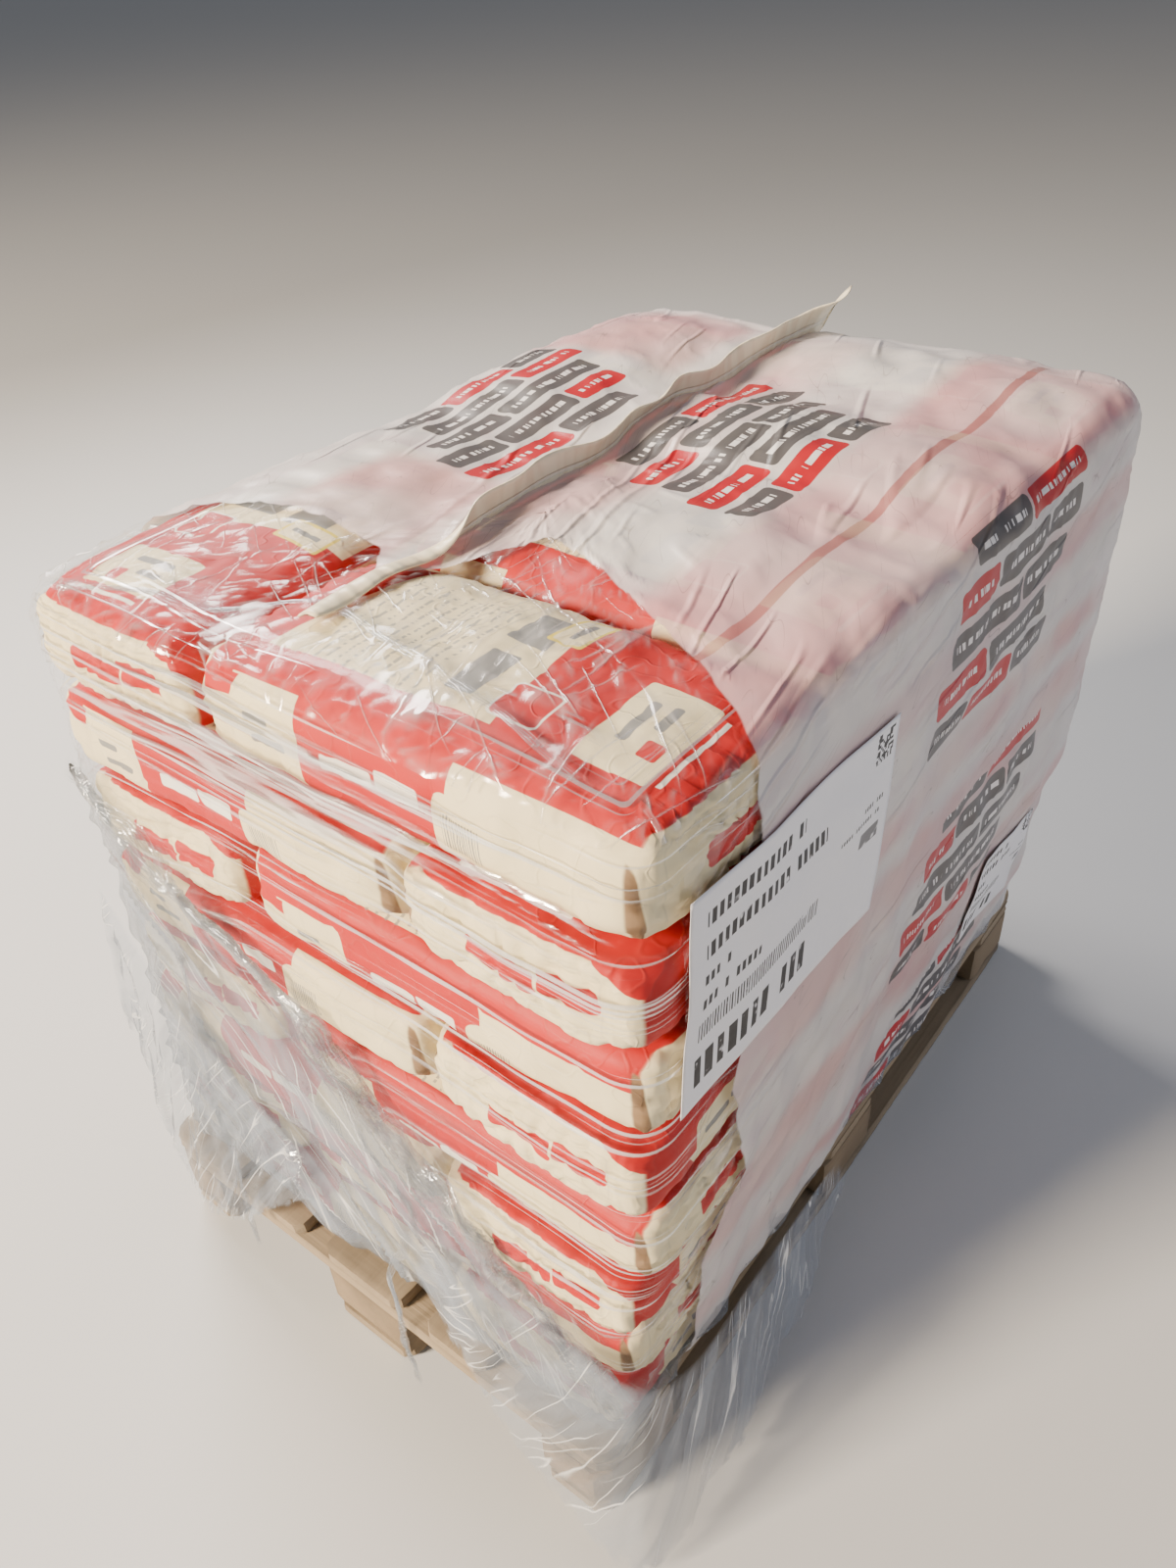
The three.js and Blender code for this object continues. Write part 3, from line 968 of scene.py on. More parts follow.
@dataclass(frozen=True)
class SawnWood:
    """Rough sawn softwood: long grain, darker rings, greyed faces and dirty edges."""

    name: str
    light: Colour
    dark: Colour
    dirt: Colour = (0.10, 0.075, 0.05)

    def make(self) -> Material:
        """Builds the material.

        Returns:
            The material of boards or blocks.
        """
        s = Shader(self.name)
        at = s.carried("grain_at")
        edge = s.carried_value("edge_wear")
        warp = s.noise(at, (1.3, 9.0, 9.0), 3.0) * 0.35
        along, across, up = s.axes(at)
        rings = s.noise(s.vector(along * 0.5, across * 30.0 + warp * 3.0, up * 30.0), (1.0, 1.0, 1.0), 2.0)
        fibre = s.noise(at, (5.0, 220.0, 220.0), 4.0)
        blotch = s.noise(at, (4.0, 7.0, 7.0), 4.0)
        colour = s.blend(rings * 0.45 + fibre * 0.40, self.light, self.dark)
        colour = s.blend(blotch.step(0.45, 0.8) * 0.55 + edge * 0.35, colour, self.dirt)
        saw = s.noise(at, (170.0, 6.0, 6.0), 2.0)
        height = fibre * 0.7 + saw * 0.35 + rings * 0.3
        rough = 0.82 + fibre * 0.12
        return s.finish(s.body(Base_Color=colour, Roughness=rough, Normal=s.bump(height, 0.0012)))


@dataclass(frozen=True)
class PlainFloor:
    """Pale, faintly cloudy studio floor."""

    colour: Colour = (0.62, 0.63, 0.65)
    cloud: Colour = (0.55, 0.56, 0.58)
    cloud_share: float = 0.12

    def make(self) -> Material:
        """Builds the floor's finish.

        Returns:
            The material.
        """
        s = Shader("studio_floor")
        cloudy = s.noise(s.place(), (1.5, 1.5, 1.5), 3.0)
        colour = s.blend(cloudy * self.cloud_share, self.colour, self.cloud)
        return s.finish(s.body(Base_Color=colour, Roughness=0.75))


# Sacks


class Heading(Enum):
    """Which way a sack lies: along the pallet, or a quarter turn to the left of that."""

    ALONG = "along"
    ACROSS = "across"


class Detail(Enum):
    """How finely a sack is made: rings along it and points round them."""

    FINE = (84, 92)
    MIDDLE = (46, 52)
    PLAIN = (26, 32)


@dataclass
class RoundedBar:
    """A bar with rounded edges and ends, which lies along the first axis of its own frame."""

    length: float
    width: float
    height: float
    ring_power: float
    length_power: float
    clearance: float
    walk: int = 6000

    def ring(self, count: int) -> tuple[Array, Array]:
        """The cross-section, walked at an even pace from the middle of its underside.

        Formula: |across / half width|^n + |up / half height|^n = 1.

        Args:
            count: Points round it.

        Returns:
            The points across and up, and the share of the way round, from -0.5 to 0.5.
        """
        turn = np.linspace(-math.pi, math.pi, self.walk)
        sine, cosine, power = np.sin(turn), np.cos(turn), 2.0 / self.ring_power
        across = (self.width / 2.0 - self.clearance) * np.sign(sine) * np.abs(sine) ** power
        up = (self.height / 2.0 - self.clearance / 2.0) * np.sign(cosine) * np.abs(cosine) ** power
        walked = np.concatenate([[0.0], np.cumsum(np.hypot(np.diff(across), np.diff(up)))])
        even = np.linspace(0.0, walked[-1], count + 1)[:-1]
        points = np.stack([np.interp(even, walked, across), np.interp(even, walked, up)], axis=-1)
        return points, even / walked[-1] - 0.5

    def profile(self, count: int) -> Array:
        """Places along the bar and the ring's share of full size there, at an even pace over both ends.

        Formula: |along / half length|^m + share^m = 1.

        Args:
            count: Rings.

        Returns:
            The place along it and the share of full size, for each ring.
        """
        turn = np.linspace(0.0, math.pi, self.walk)
        sine, cosine, power = np.sin(turn), np.cos(turn), 2.0 / self.length_power
        along = (self.clearance - self.length / 2.0) * np.sign(cosine) * np.abs(cosine) ** power
        share = np.abs(sine) ** power
        steps = np.hypot(np.diff(along), np.diff(share) * self.width / 2.0)
        walked = np.concatenate([[0.0], np.cumsum(steps)])
        even = np.linspace(0.0, walked[-1], count + 2)[1:-1]
        return np.stack([np.interp(even, walked, along), np.interp(even, walked, share)], axis=-1)

    def form(self, rings: int, round_it: int) -> tuple[Array, Array, Array, Array]:
        """Builds the bar's points: the cross-section at each ring's share of full size.

        Args:
            rings: Rings along it.
            round_it: Points round each ring.

        Returns:
            The points by ring, the two end points, each ring's share of full size, and each point's share
            of the way round.
        """
        section, share_round = self.ring(round_it)
        profile = self.profile(rings)
        points = np.empty((rings, round_it, 3))
        points[..., 0] = profile[:, :1]
        points[..., 1:] = profile[:, 1, None, None] * section
        tips = np.array([[-1.0, 0.0, 0.0], [1.0, 0.0, 0.0]]) * (self.length / 2.0 - self.clearance)
        return points, tips, profile[:, 1], share_round


@dataclass
class Sack:
    """One filled paper sack: a rounded bar with square pasted ends, dented and creased all over.

    Its roll is how far the print is turned round it, and its crown how far a top sack bulges upwards.
    """

    name: str
    layer: int
    centre: Place
    length: float
    width: float
    height: float
    heading: Heading
    detail: Detail
    roll: float
    crown: float
    seed: int
    ring_power: float = 4.8
    length_power: float = 14.0
    clearance: float = 0.0012
    print_length: float = 0.270
    print_girth: float = 0.774
    broad_dent: float = 0.0048
    crease: float = 0.0026
    end_fold: float = 0.0048
    small_dent: float = 0.0006
    end_bulge: float = 0.006
    corner_drop: float = 0.010

    def dent(self, at: Array) -> Array:
        """Moves points of the smooth form inwards by dents and creases, and shapes its ends and crown.

        Formula: the point, less its outward heading times the depth of broad dents, of creases where a
        rippling value passes zero, and of folds that run in from the ends. The crown adds (1 - u^2)(1 -
        v^2) of its height.

        Args:
            at: Points of the smooth form, in the sack's own axes.

        Returns:
            The moved points.
        """
        rng = np.random.default_rng(self.seed)
        half = np.array([self.length, self.width, self.height]) / 2.0
        share = at / half
        heading = np.sign(share) * np.abs(share) ** np.array([9.0, 4.0, 4.0])
        heading /= np.linalg.norm(heading, axis=-1, keepdims=True) + 1e-9
        broad = 0.5 + 0.5 * ripples(at, rng, 9, 0.07, 0.24)
        line = crest(ripples(at * np.array([1.0, 0.7, 0.7]), rng, 7, 0.05, 0.16), 0.09)
        end_pull = smooth(0.70, 1.0, np.abs(share[..., 0]))
        folds = crest(ripples(at * np.array([0.5, 1.6, 1.6]), rng, 7, 0.03, 0.09), 0.26)
        small = ripples(at, rng, 12, 0.018, 0.05)
        depth = (self.broad_dent * broad + self.crease * line + self.end_fold * end_pull * folds
                 + self.small_dent * small)
        moved = at - heading * depth[..., None]
        belly = (1.0 - share[..., 1] ** 2) * (1.0 - np.clip(share[..., 2] ** 2, 0.0, 1.0))
        moved[..., 0] += self.end_bulge * share[..., 0] ** 9 * belly
        above = smooth(-0.2, 0.8, share[..., 2])
        dome = np.clip(1.0 - share[..., 0] ** 2, 0.0, 1.0) * np.clip(1.0 - share[..., 1] ** 2, 0.0, 1.0)
        moved[..., 2] += self.crown * above * dome ** 0.6
        corner = np.abs(share[..., 0] * share[..., 1])
        moved[..., 2] -= self.corner_drop * above * smooth(0.70, 1.0, corner) * (self.crown > 0.0)
        return moved

    def placed(self, points: Array) -> Array:
        """Turns points from the sack's own axes to its heading and moves them to its place."""
        left = points[..., [1, 0, 2]] * np.array([-1.0, 1.0, 1.0])
        return (points if self.heading is Heading.ALONG else left) + np.array(self.centre)

    def skin(self) -> Skin:
        """Builds the closed skin of the sack.

        Returns:
            The skin, with the print's coordinates on it.
        """
        bar = RoundedBar(self.length, self.width, self.height, self.ring_power, self.length_power,
                         self.clearance)
        form, tips, share, share_round = bar.form(*self.detail.value)
        print_scale = 2.0 * self.print_length / self.length
        around = np.zeros(form.shape)
        around[..., 0] = form[..., 0] * print_scale
        around[..., 1] = share_round * self.print_girth - self.roll * np.sign(share_round)
        end_at = form[..., [1, 2, 0]].copy()
        end_at[..., 2] = (np.sign(form[:, 0, 0]) * (1.0 - share))[:, None]
        carried = {
            "around": (around, tips[0] * print_scale, tips[1] * print_scale),
            "end_at": (end_at, np.array([0.0, 0.0, -1.0]), np.array([0.0, 0.0, 1.0])),
        }
        start, end = self.placed(self.dent(tips))
        return capped_tube(self.placed(self.dent(form)), start, end, carried)


@dataclass
class SackStack:
    """Eight layers of six sacks: four across the pallet and two along it, on alternate sides.

    The print is rolled round the sacks of some layers, so that the fronts don't all look alike.
    """

    layers: int = 8
    across_count: int = 4
    along_width: float = 0.275
    along_gap: float = 0.014
    press: float = 0.001
    crown: float = 0.020
    far_crown: float = 0.012
    seeds_per_layer: int = 100
    rolled: dict[int, float] = field(default_factory=lambda: {2: 0.040, 4: 0.044, 6: 0.042, 7: 0.012})
    sacks: list[Sack] = field(default_factory=list)

    def plan(self) -> None:
        """Works out every sack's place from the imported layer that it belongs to."""
        for layer in range(1, self.layers + 1):
            low, high = box_round(f"sack_layer_{layer}")
            low[:2] += self.press
            high[:2] -= self.press
            is_top = layer == self.layers
            depth, height = high[1] - low[1], high[2] - low[2] - self.crown * is_top
            middle, level = (low + high) / 2.0, low[2] + height / 2.0
            crowns = np.array([self.crown, self.crown + self.far_crown]) * is_top
            sack = functools.partial(Sack, layer=layer, height=height, roll=self.rolled.get(layer, 0.0))
            seed = self.seeds_per_layer * layer
            side = 1.0 if layer % 2 == 0 else -1.0
            pitch = (high[0] - low[0]) / self.across_count
            across_length = depth - self.along_width
            y = middle[1] - side * self.along_width / 2.0
            for i in range(self.across_count):
                detail = Detail.MIDDLE if i == 3 or side > 0.0 else Detail.PLAIN
                self.sacks.append(sack(
                    name=f"sack_{layer}_across_{i + 1}", centre=(low[0] + (i + 0.5) * pitch, y, level),
                    length=across_length, width=pitch, heading=Heading.ACROSS, crown=crowns[i // 2],
                    seed=seed + i, detail=Detail.FINE if i == 0 or is_top else detail))
            length = (high[0] - low[0] - self.along_gap) / 2.0
            y = middle[1] + side * across_length / 2.0
            for i, end in enumerate((-1.0, 1.0)):
                x = middle[0] + end * (length + self.along_gap) / 2.0
                self.sacks.append(sack(
                    name=f"sack_{layer}_along_{i + 1}", centre=(x, y, level), length=length,
                    width=self.along_width, heading=Heading.ALONG, crown=crowns[i], seed=seed + 10 + i,
                    detail=Detail.FINE if i == 0 or is_top else Detail.MIDDLE))

    def build(self) -> Array:
        """Makes the sacks.

        Returns:
            All their points, for the film to lie on.
        """
        self.plan()
        paper = PrintedPaper().make()
        points = []
        for sack in self.sacks:
            skin = sack.skin()
            points.append(skin.points)
            piece = make_piece(sack.name, skin, paper, [f"sack_layer_{sack.layer}"])
        return np.concatenate(points)


# Film


@dataclass
class LoadHull:
    """The rounded box that both films follow: upright above, slanting out to the pallet's deck below.

    A place on it is given by how far round it lies, from the -X, -Y corner along the -Y side first, and how
    far up.
    """

    plan_corner: float = 0.052
    top_rounding: float = 0.040
    knee_height: float = 0.186
    knee_share: float = 0.17
    deck_edge: float = 0.150
    least_corner: float = 0.006

    def __post_init__(self) -> None:
        """Reads the upright layers' box and the deck's from the frame."""
        low, high = box_round("sack_layer_5", "sack_layer_6", "sack_layer_7", "sack_layer_8")
        deck_low, deck_high = box_round("deck_board_1", "deck_board_5")
        self.top = float(high[2])
        self.levels = np.array([self.deck_edge, self.knee_height, low[2]])
        wide = np.concatenate([deck_low[:2], deck_high[:2]])
        narrow = np.concatenate([low[:2], high[:2]])
        self.boxes = np.stack([wide, wide + (narrow - wide) * self.knee_share, narrow])
        self.shoulder = self.top - self.top_rounding
        self.edge = self.shoulder + QUARTER_TURN * self.top_rounding
        self.arc = QUARTER_TURN * self.plan_corner
        self.sides = narrow[2:] - narrow[:2] - 2.0 * self.plan_corner
        lengths = [self.sides[0], self.arc, self.sides[1], self.arc] * 2
        self.starts = np.concatenate([[0.0], np.cumsum(lengths)])
        self.girth = float(self.starts[-1])

    def box_at(self, height: Array) -> Array:
        """The box's low and high corner in plan at each height, on a last axis of four."""
        return np.stack([np.interp(height, self.levels, self.boxes[:, k]) for k in range(4)], axis=-1)

    def frame_at(self, around: Array) -> tuple[Array, Array, Array]:
        """Where each place round the hull lies: its share along X and Y between the corners, and its heading.

        Args:
            around: Metres round the upright hull.

        Returns:
            The share along X, the share along Y, and the angle of the outward heading.
        """
        stops = self.starts
        around = np.mod(around, self.girth)
        share_x = np.interp(around, stops, [0, 1, 1, 1, 1, 0, 0, 0, 0])
        share_y = np.interp(around, stops, [0, 0, 0, 1, 1, 1, 1, 0, 0])
        angle = np.interp(around, stops, [SOUTH, SOUTH, EAST, EAST, NORTH, NORTH, WEST, WEST, WEST + NORTH])
        return share_x, share_y, angle

    def surface(self, around: Array, up: Array, inset: Array) -> tuple[Array, Array]:
        """Points of the hull and their outward headings.

        Formula: the drawn-in box's corner centre, plus the corner radius along the heading in plan. Over the
        shoulder the path bends through a quarter circle, and then runs in over the top by the inset.

        Args:
            around: Metres round the hull.
            up: Metres up the side, and on over the shoulder's arc.
            inset: Further metres in over the top.

        Returns:
            The points and the headings.
        """
        share_x, share_y, angle = self.frame_at(around)
        bend = np.clip((up - self.shoulder) / self.top_rounding, 0.0, QUARTER_TURN)
        height = np.minimum(up, self.shoulder) + self.top_rounding * np.sin(bend)
        drawn_in = self.top_rounding * (1.0 - np.cos(bend)) + inset
        box = self.box_at(height)
        radius = np.maximum(self.plan_corner - drawn_in, self.least_corner)
        reach = drawn_in + radius
        x = box[..., 0] + reach + share_x * (box[..., 2] - box[..., 0] - 2.0 * reach)
        y = box[..., 1] + reach + share_y * (box[..., 3] - box[..., 1] - 2.0 * reach)
        out = np.stack([np.cos(angle), np.sin(angle)], axis=-1)
        flat = np.stack([x, y], axis=-1) + out * radius[..., None]
        heading = np.concatenate([out * np.cos(bend)[..., None], np.sin(bend)[..., None]], axis=-1)
        return np.concatenate([flat, height[..., None]], axis=-1), heading

    def locate(self, points: Array) -> tuple[Array, Array, Array]:
        """Finds where points lie on the hull, the other way round from surface().

        Args:
            points: Points near the hull's sides.

        Returns:
            Metres round, metres up, and how far outside the hull each point lies.
        """
        box = self.box_at(points[:, 2])
        low, high = box[:, :2] + self.plan_corner, box[:, 2:] - self.plan_corner
        core = np.clip(points[:, :2], low, high)
        away = points[:, :2] - core
        outside = np.hypot(away[:, 0], away[:, 1]) - self.plan_corner
        turn = np.mod(np.arctan2(away[:, 1], away[:, 0]) - SOUTH, 2.0 * math.pi) / QUARTER_TURN
        share = (core - low) / (high - low)
        quarter = np.floor(turn + 1e-6).astype(int)
        corner = (turn - quarter) * self.arc * (np.abs(away).min(axis=1) > 1e-7)
        run = np.choose(quarter % 4, [*share.T, *(1.0 - share).T])
        side = np.where(quarter % 2 == 0, self.sides[0], self.sides[1])
        around = self.starts[2 * quarter % 8] + run * side + corner
        over = np.maximum(points[:, 2] - self.shoulder, 0.0)
        reach = np.maximum(outside + self.top_rounding, 0.0)
        bend = np.where(over > 0.0, np.arctan2(over, reach), 0.0)
        up = np.minimum(points[:, 2], self.shoulder) + bend * self.top_rounding
        outside = np.where(over > 0.0, np.hypot(over, reach) - self.top_rounding, outside)
        return around, up, outside


@dataclass
class ReliefMap:
    """How far the sacks stand out of the hull, on a grid round its sides and another over its top."""

    hull: LoadHull
    points: Array
    cell: float = 0.008
    lowest: float = 0.100
    empty: float = -0.090
    most_pressed: float = 0.0015

    def __post_init__(self) -> None:
        """Rasterises the sacks: each cell keeps the point that stands out furthest."""
        hull = self.hull
        around, up, outside = hull.locate(self.points)
        self.columns = int(round(hull.girth / self.cell))
        self.rows = int((hull.edge - self.lowest) / self.cell) + 1
        near = (outside > self.empty) & (up > self.lowest)
        column = (around[near] / hull.girth * self.columns).astype(int) % self.columns
        row = np.clip(((up[near] - self.lowest) / self.cell).astype(int), 0, self.rows - 1)
        self.side = np.full((self.rows, self.columns), self.empty)
        np.maximum.at(self.side, (row, column), outside[near])
        low, high = hull.boxes[-1][:2], hull.boxes[-1][2:]
        self.origin = low
        size = ((high - low) / self.cell).astype(int) + 1
        above = self.points[self.points[:, 2] > hull.top + self.empty]
        place = np.clip(((above[:, :2] - low) / self.cell).astype(int), 0, size - 1)
        self.upper = np.full(tuple(size), self.empty)
        np.maximum.at(self.upper, (place[:, 0], place[:, 1]), above[:, 2] - hull.top)

    def stretched(self, reach: int, ease: int) -> "ReliefMap":
        """The relief as a taut film bridges it.

        Formula: a closing, which fills hollows narrower than twice the reach, and then a running mean that
        stays above the sacks.

        Args:
            reach: Cells on each side that the closing bridges.
            ease: Cells on each side of the running mean.

        Returns:
            A copy with the bridged relief.
        """
        bridged = copy.copy(self)
        for name, modes in (("side", ("edge", "wrap")), ("upper", ("edge", "edge"))):
            grid = getattr(self, name)
            closed = filtered(filtered(grid, reach, modes, np.max), reach, modes, np.min)
            cover = filtered(closed, 1, modes, np.max)
            eased = filtered(filtered(closed, ease, modes, np.mean), ease, modes, np.mean)
            above = np.maximum(eased, cover - self.most_pressed)
            setattr(bridged, name, filtered(above, 1, modes, np.mean))
        return bridged

    def outside(self, around: Array, up: Array, points: Array) -> Array:
        """How far the film lies outside the hull at places on it.

        Args:
            around: Metres round the hull.
            up: Metres up it.
            points: The hull's points there, for the part over the top.

        Returns:
            Metres outside.
        """
        side = sampled(self.side, (up - self.lowest) / self.cell - 0.5,
                       around / self.hull.girth * self.columns - 0.5, True)
        place = (points[..., :2] - self.origin) / self.cell - 0.5
        over = sampled(self.upper, place[..., 0], place[..., 1], False)
        bend = (up - self.hull.shoulder) / (1.5 * self.hull.top_rounding)
        return side + (over - side) * smooth(0.35, 1.0, bend)


@dataclass
class FilmSheet:
    """A film over the hull: a grid of places round it and up it, drawn in over the top by further rows."""

    hull: LoadHull
    relief: ReliefMap
    clearance: float
    around: Array
    up: Array
    inward: Array

    def places(self) -> tuple[Array, Array, Array]:
        """Lays out the grid: rows up the side, and then rows in over the top.

        Returns:
            Metres round, metres up and metres in over the top.
        """
        rows = np.concatenate([self.up, np.full(len(self.inward), self.hull.edge)])
        inset = np.concatenate([np.zeros(len(self.up)), self.inward])
        around, up = np.meshgrid(self.around, rows)
        return around, up, np.broadcast_to(inset[:, None], around.shape)

    def lay(self, around: Array, up: Array, inset: Array, wrinkle: Array) -> Array:
        """Points of the film: the hull, moved out by relief, clearance and wrinkle.

        Args:
            around: Metres round.
            up: Metres up.
            inset: Metres in over the top.
            wrinkle: Metres added along the outward heading.

        Returns:
            The points.
        """
        base, heading = self.hull.surface(around, up, inset)
        stand = self.relief.outside(around, up, base) + self.clearance + wrinkle
        return base + heading * stand[..., None]


def even_steps(stops: Sequence[float], steps: Sequence[float]) -> Array:
    """Values from the first stop to the last, with a step of its own in each stretch between two stops.

    Args:
        stops: Ends of the stretches.
        steps: About the step in each stretch.

    Returns:
        The values, with both ends.
    """
    pieces = [np.linspace(a, b, max(int(round((b - a) / step)), 1), endpoint=False)
              for a, b, step in zip(stops[:-1], stops[1:], steps)]
    return np.concatenate(pieces + [np.array([stops[-1]])])


@dataclass
class StretchWrap:
    """Clear film wound round the load: taut streaks on the upper end, and crumpled, hazy folds lower down."""

    hull: LoadHull
    relief: ReliefMap
    clearance: float = 0.0022
    bottom: float = 0.106
    hem_drop: float = 0.085
    turn_in: float = 0.075
    ridge_height: float = 0.0022
    slack_stand: float = 0.0070
    swell_height: float = 0.0050
    drape_height: float = 0.0080
    seed: int = 41
    rim_seed: int = 5
    pinch_at: float = -0.120
    ridge_count: int = 84
    overlap: float = 0.040
    end_slack: float = 0.56
    side_slack: float = 0.20
    slack_slope: float = 0.70
    fold_turn: float = -0.85
    spare_width: float = 1.02
    spare_length: float = 1.03

    def ridges(self, around: Array, up: Array, rng: np.random.Generator) -> Array:
        """Tension ridges that run round the load, nearly level and a little fanned.

        Formula: for each ridge exp(-((up - its line) / its width)^2), times a soft window along it.

        Args:
            around: Metres round, from the middle of the -X side.
            up: Metres up.
            rng: Source of the ridges.

        Returns:
            The height of the ridges, as a share.
        """
        total = np.zeros_like(up)
        bundled = self.ridge_count // 4
        level = np.concatenate([rng.normal(0.945, 0.028, bundled),
                                rng.uniform(0.45, 1.02, self.ridge_count - bundled)])
        slope = rng.normal(-0.045, 0.035, self.ridge_count)
        bend = rng.normal(0.0, 0.10, self.ridge_count)
        width = rng.uniform(0.0018, 0.0034, self.ridge_count)
        size = rng.uniform(0.35, 1.0, self.ridge_count)
        middle = rng.uniform(-0.25, 0.25, self.ridge_count)
        reach = rng.uniform(0.16, 0.60, self.ridge_count)
        for k in range(self.ridge_count):
            line = level[k] + slope[k] * around + bend[k] * around ** 2
            window = crest(around - middle[k], reach[k])
            total += size[k] * crest(up - line, width[k]) * window
        return total

    def build(self, film: Material) -> None:
        """Makes the wrap: its grid is finest on the near end, where its ridges, slack folds and hem are seen.

        Args:
            film: Its finish.
        """
        rng = np.random.default_rng(self.seed)
        hull = self.hull
        girth, west, east = hull.girth, hull.starts[6:8], hull.starts[2:4].mean()
        stops = [east, hull.starts[5], west[0], girth, girth + 0.3, girth + east + self.overlap]
        around = even_steps(stops, [0.026, 0.020, 0.0075, 0.010, 0.026])
        up = even_steps([self.bottom - self.hem_drop, 0.24, hull.edge], [0.0048, 0.0031])
        inward = np.linspace(0.0, self.turn_in, 11)[1:]
        sheet = FilmSheet(hull, self.relief, self.clearance, around, up, inward)
        turn, rise, drawn = sheet.places()
        from_middle = turn - west.mean()
        on_end = crest(from_middle, 0.62)
        at = np.stack([turn, rise + drawn], axis=-1)
        beside = smooth(0.52, 0.40, np.abs(from_middle))
        limit = self.side_slack + beside * (
            self.end_slack - self.side_slack - self.slack_slope * np.clip(from_middle, -0.36, 0.42))
        slack = 1.0 - smooth(-0.07, 0.12, rise - limit + 0.03 * ripples(at, rng, 6, 0.12, 0.4))
        ridge = self.ridges(from_middle, rise, rng) * on_end * (1.0 - slack)
        cosine, sine = math.cos(self.fold_turn), math.sin(self.fold_turn)
        sloped = np.stack([0.4 * (cosine * turn + sine * rise), 2.2 * (cosine * rise - sine * turn)], axis=-1)
        swell = ripples(sloped, rng, 8, 0.14, 0.45)
        draped = crest(ripples(sloped, rng, 8, 0.10, 0.34), 0.24)
        hollow = (self.pinch_at, hull.edge + 0.012)
        fan = pinched(np.stack([from_middle, rise + drawn], axis=-1), hollow, 7.0, 0.15, rng)
        ridge = np.maximum(ridge, 0.9 * fan)
        loose = self.slack_stand + self.swell_height * swell + self.drape_height * draped
        points = sheet.lay(turn, rise, drawn, self.ridge_height * ridge + slack * loose)
        hem = ripples(at[..., :1], rng, 8, 0.02, 0.20)
        hem_at = self.bottom - self.hem_drop * smooth(0.62, 0.36, np.abs(from_middle + 0.02))
        torn = smooth(0.012, 0.016, rise - hem_at + (0.010 + 0.014 * (hem_at < self.bottom)) * hem)
        rim_wave = ripples(at[..., :1], np.random.default_rng(self.rim_seed), 7, 0.08, 0.5)
        torn = torn * (1.0 - smooth(0.0, 0.002, drawn - 0.050 - 0.018 * rim_wave))
        doubled = 0.35 * crest(drawn - 0.045, 0.02) * (drawn > 0.0)
        haze = slack * (1.0 + 0.4 * smooth(0.0, 0.25, limit - rise)) + doubled
        carried = {"sheet_at": flat_vectors(turn, rise + drawn), "ridge": np.clip(ridge, 0.0, 1.2),
                   "haze": haze, "torn": torn}
        faces = grid_faces(*turn.shape, False)
        faces = faces[torn.ravel()[faces].max(axis=1) > 0.0]
        skin = sheet_skin(points, faces, carried)
        piece = make_piece("stretch_wrap_film", skin, film, ["stretch_wrap"])
        drop_loose_points(piece)
        width = (hull.edge - self.bottom + self.turn_in) * self.spare_width


def loose_film(name: str, film: Material, points: Array, at: tuple[Array, Array], haze: float, ridge: Array,
               torn: Array) -> bpy.types.Object:
    """Makes a piece of loose film.

    Args:
        name: The piece's name.
        film: Its finish.
        points: Its points by row and column.
        at: The sheet's two coordinates there.
        haze: How hazy it is.
        ridge: How high its sharp folds are.
        torn: 0 beyond its edges.

    Returns:
        The piece.
    """
    shape = ridge.shape
    carried = {"sheet_at": flat_vectors(*at), "ridge": ridge, "haze": np.full(shape, haze),
               "torn": np.broadcast_to(torn, shape)}
    return make_piece(name, sheet_skin(points, grid_faces(*shape, False), carried), film,
                      ["stretch_wrap"])


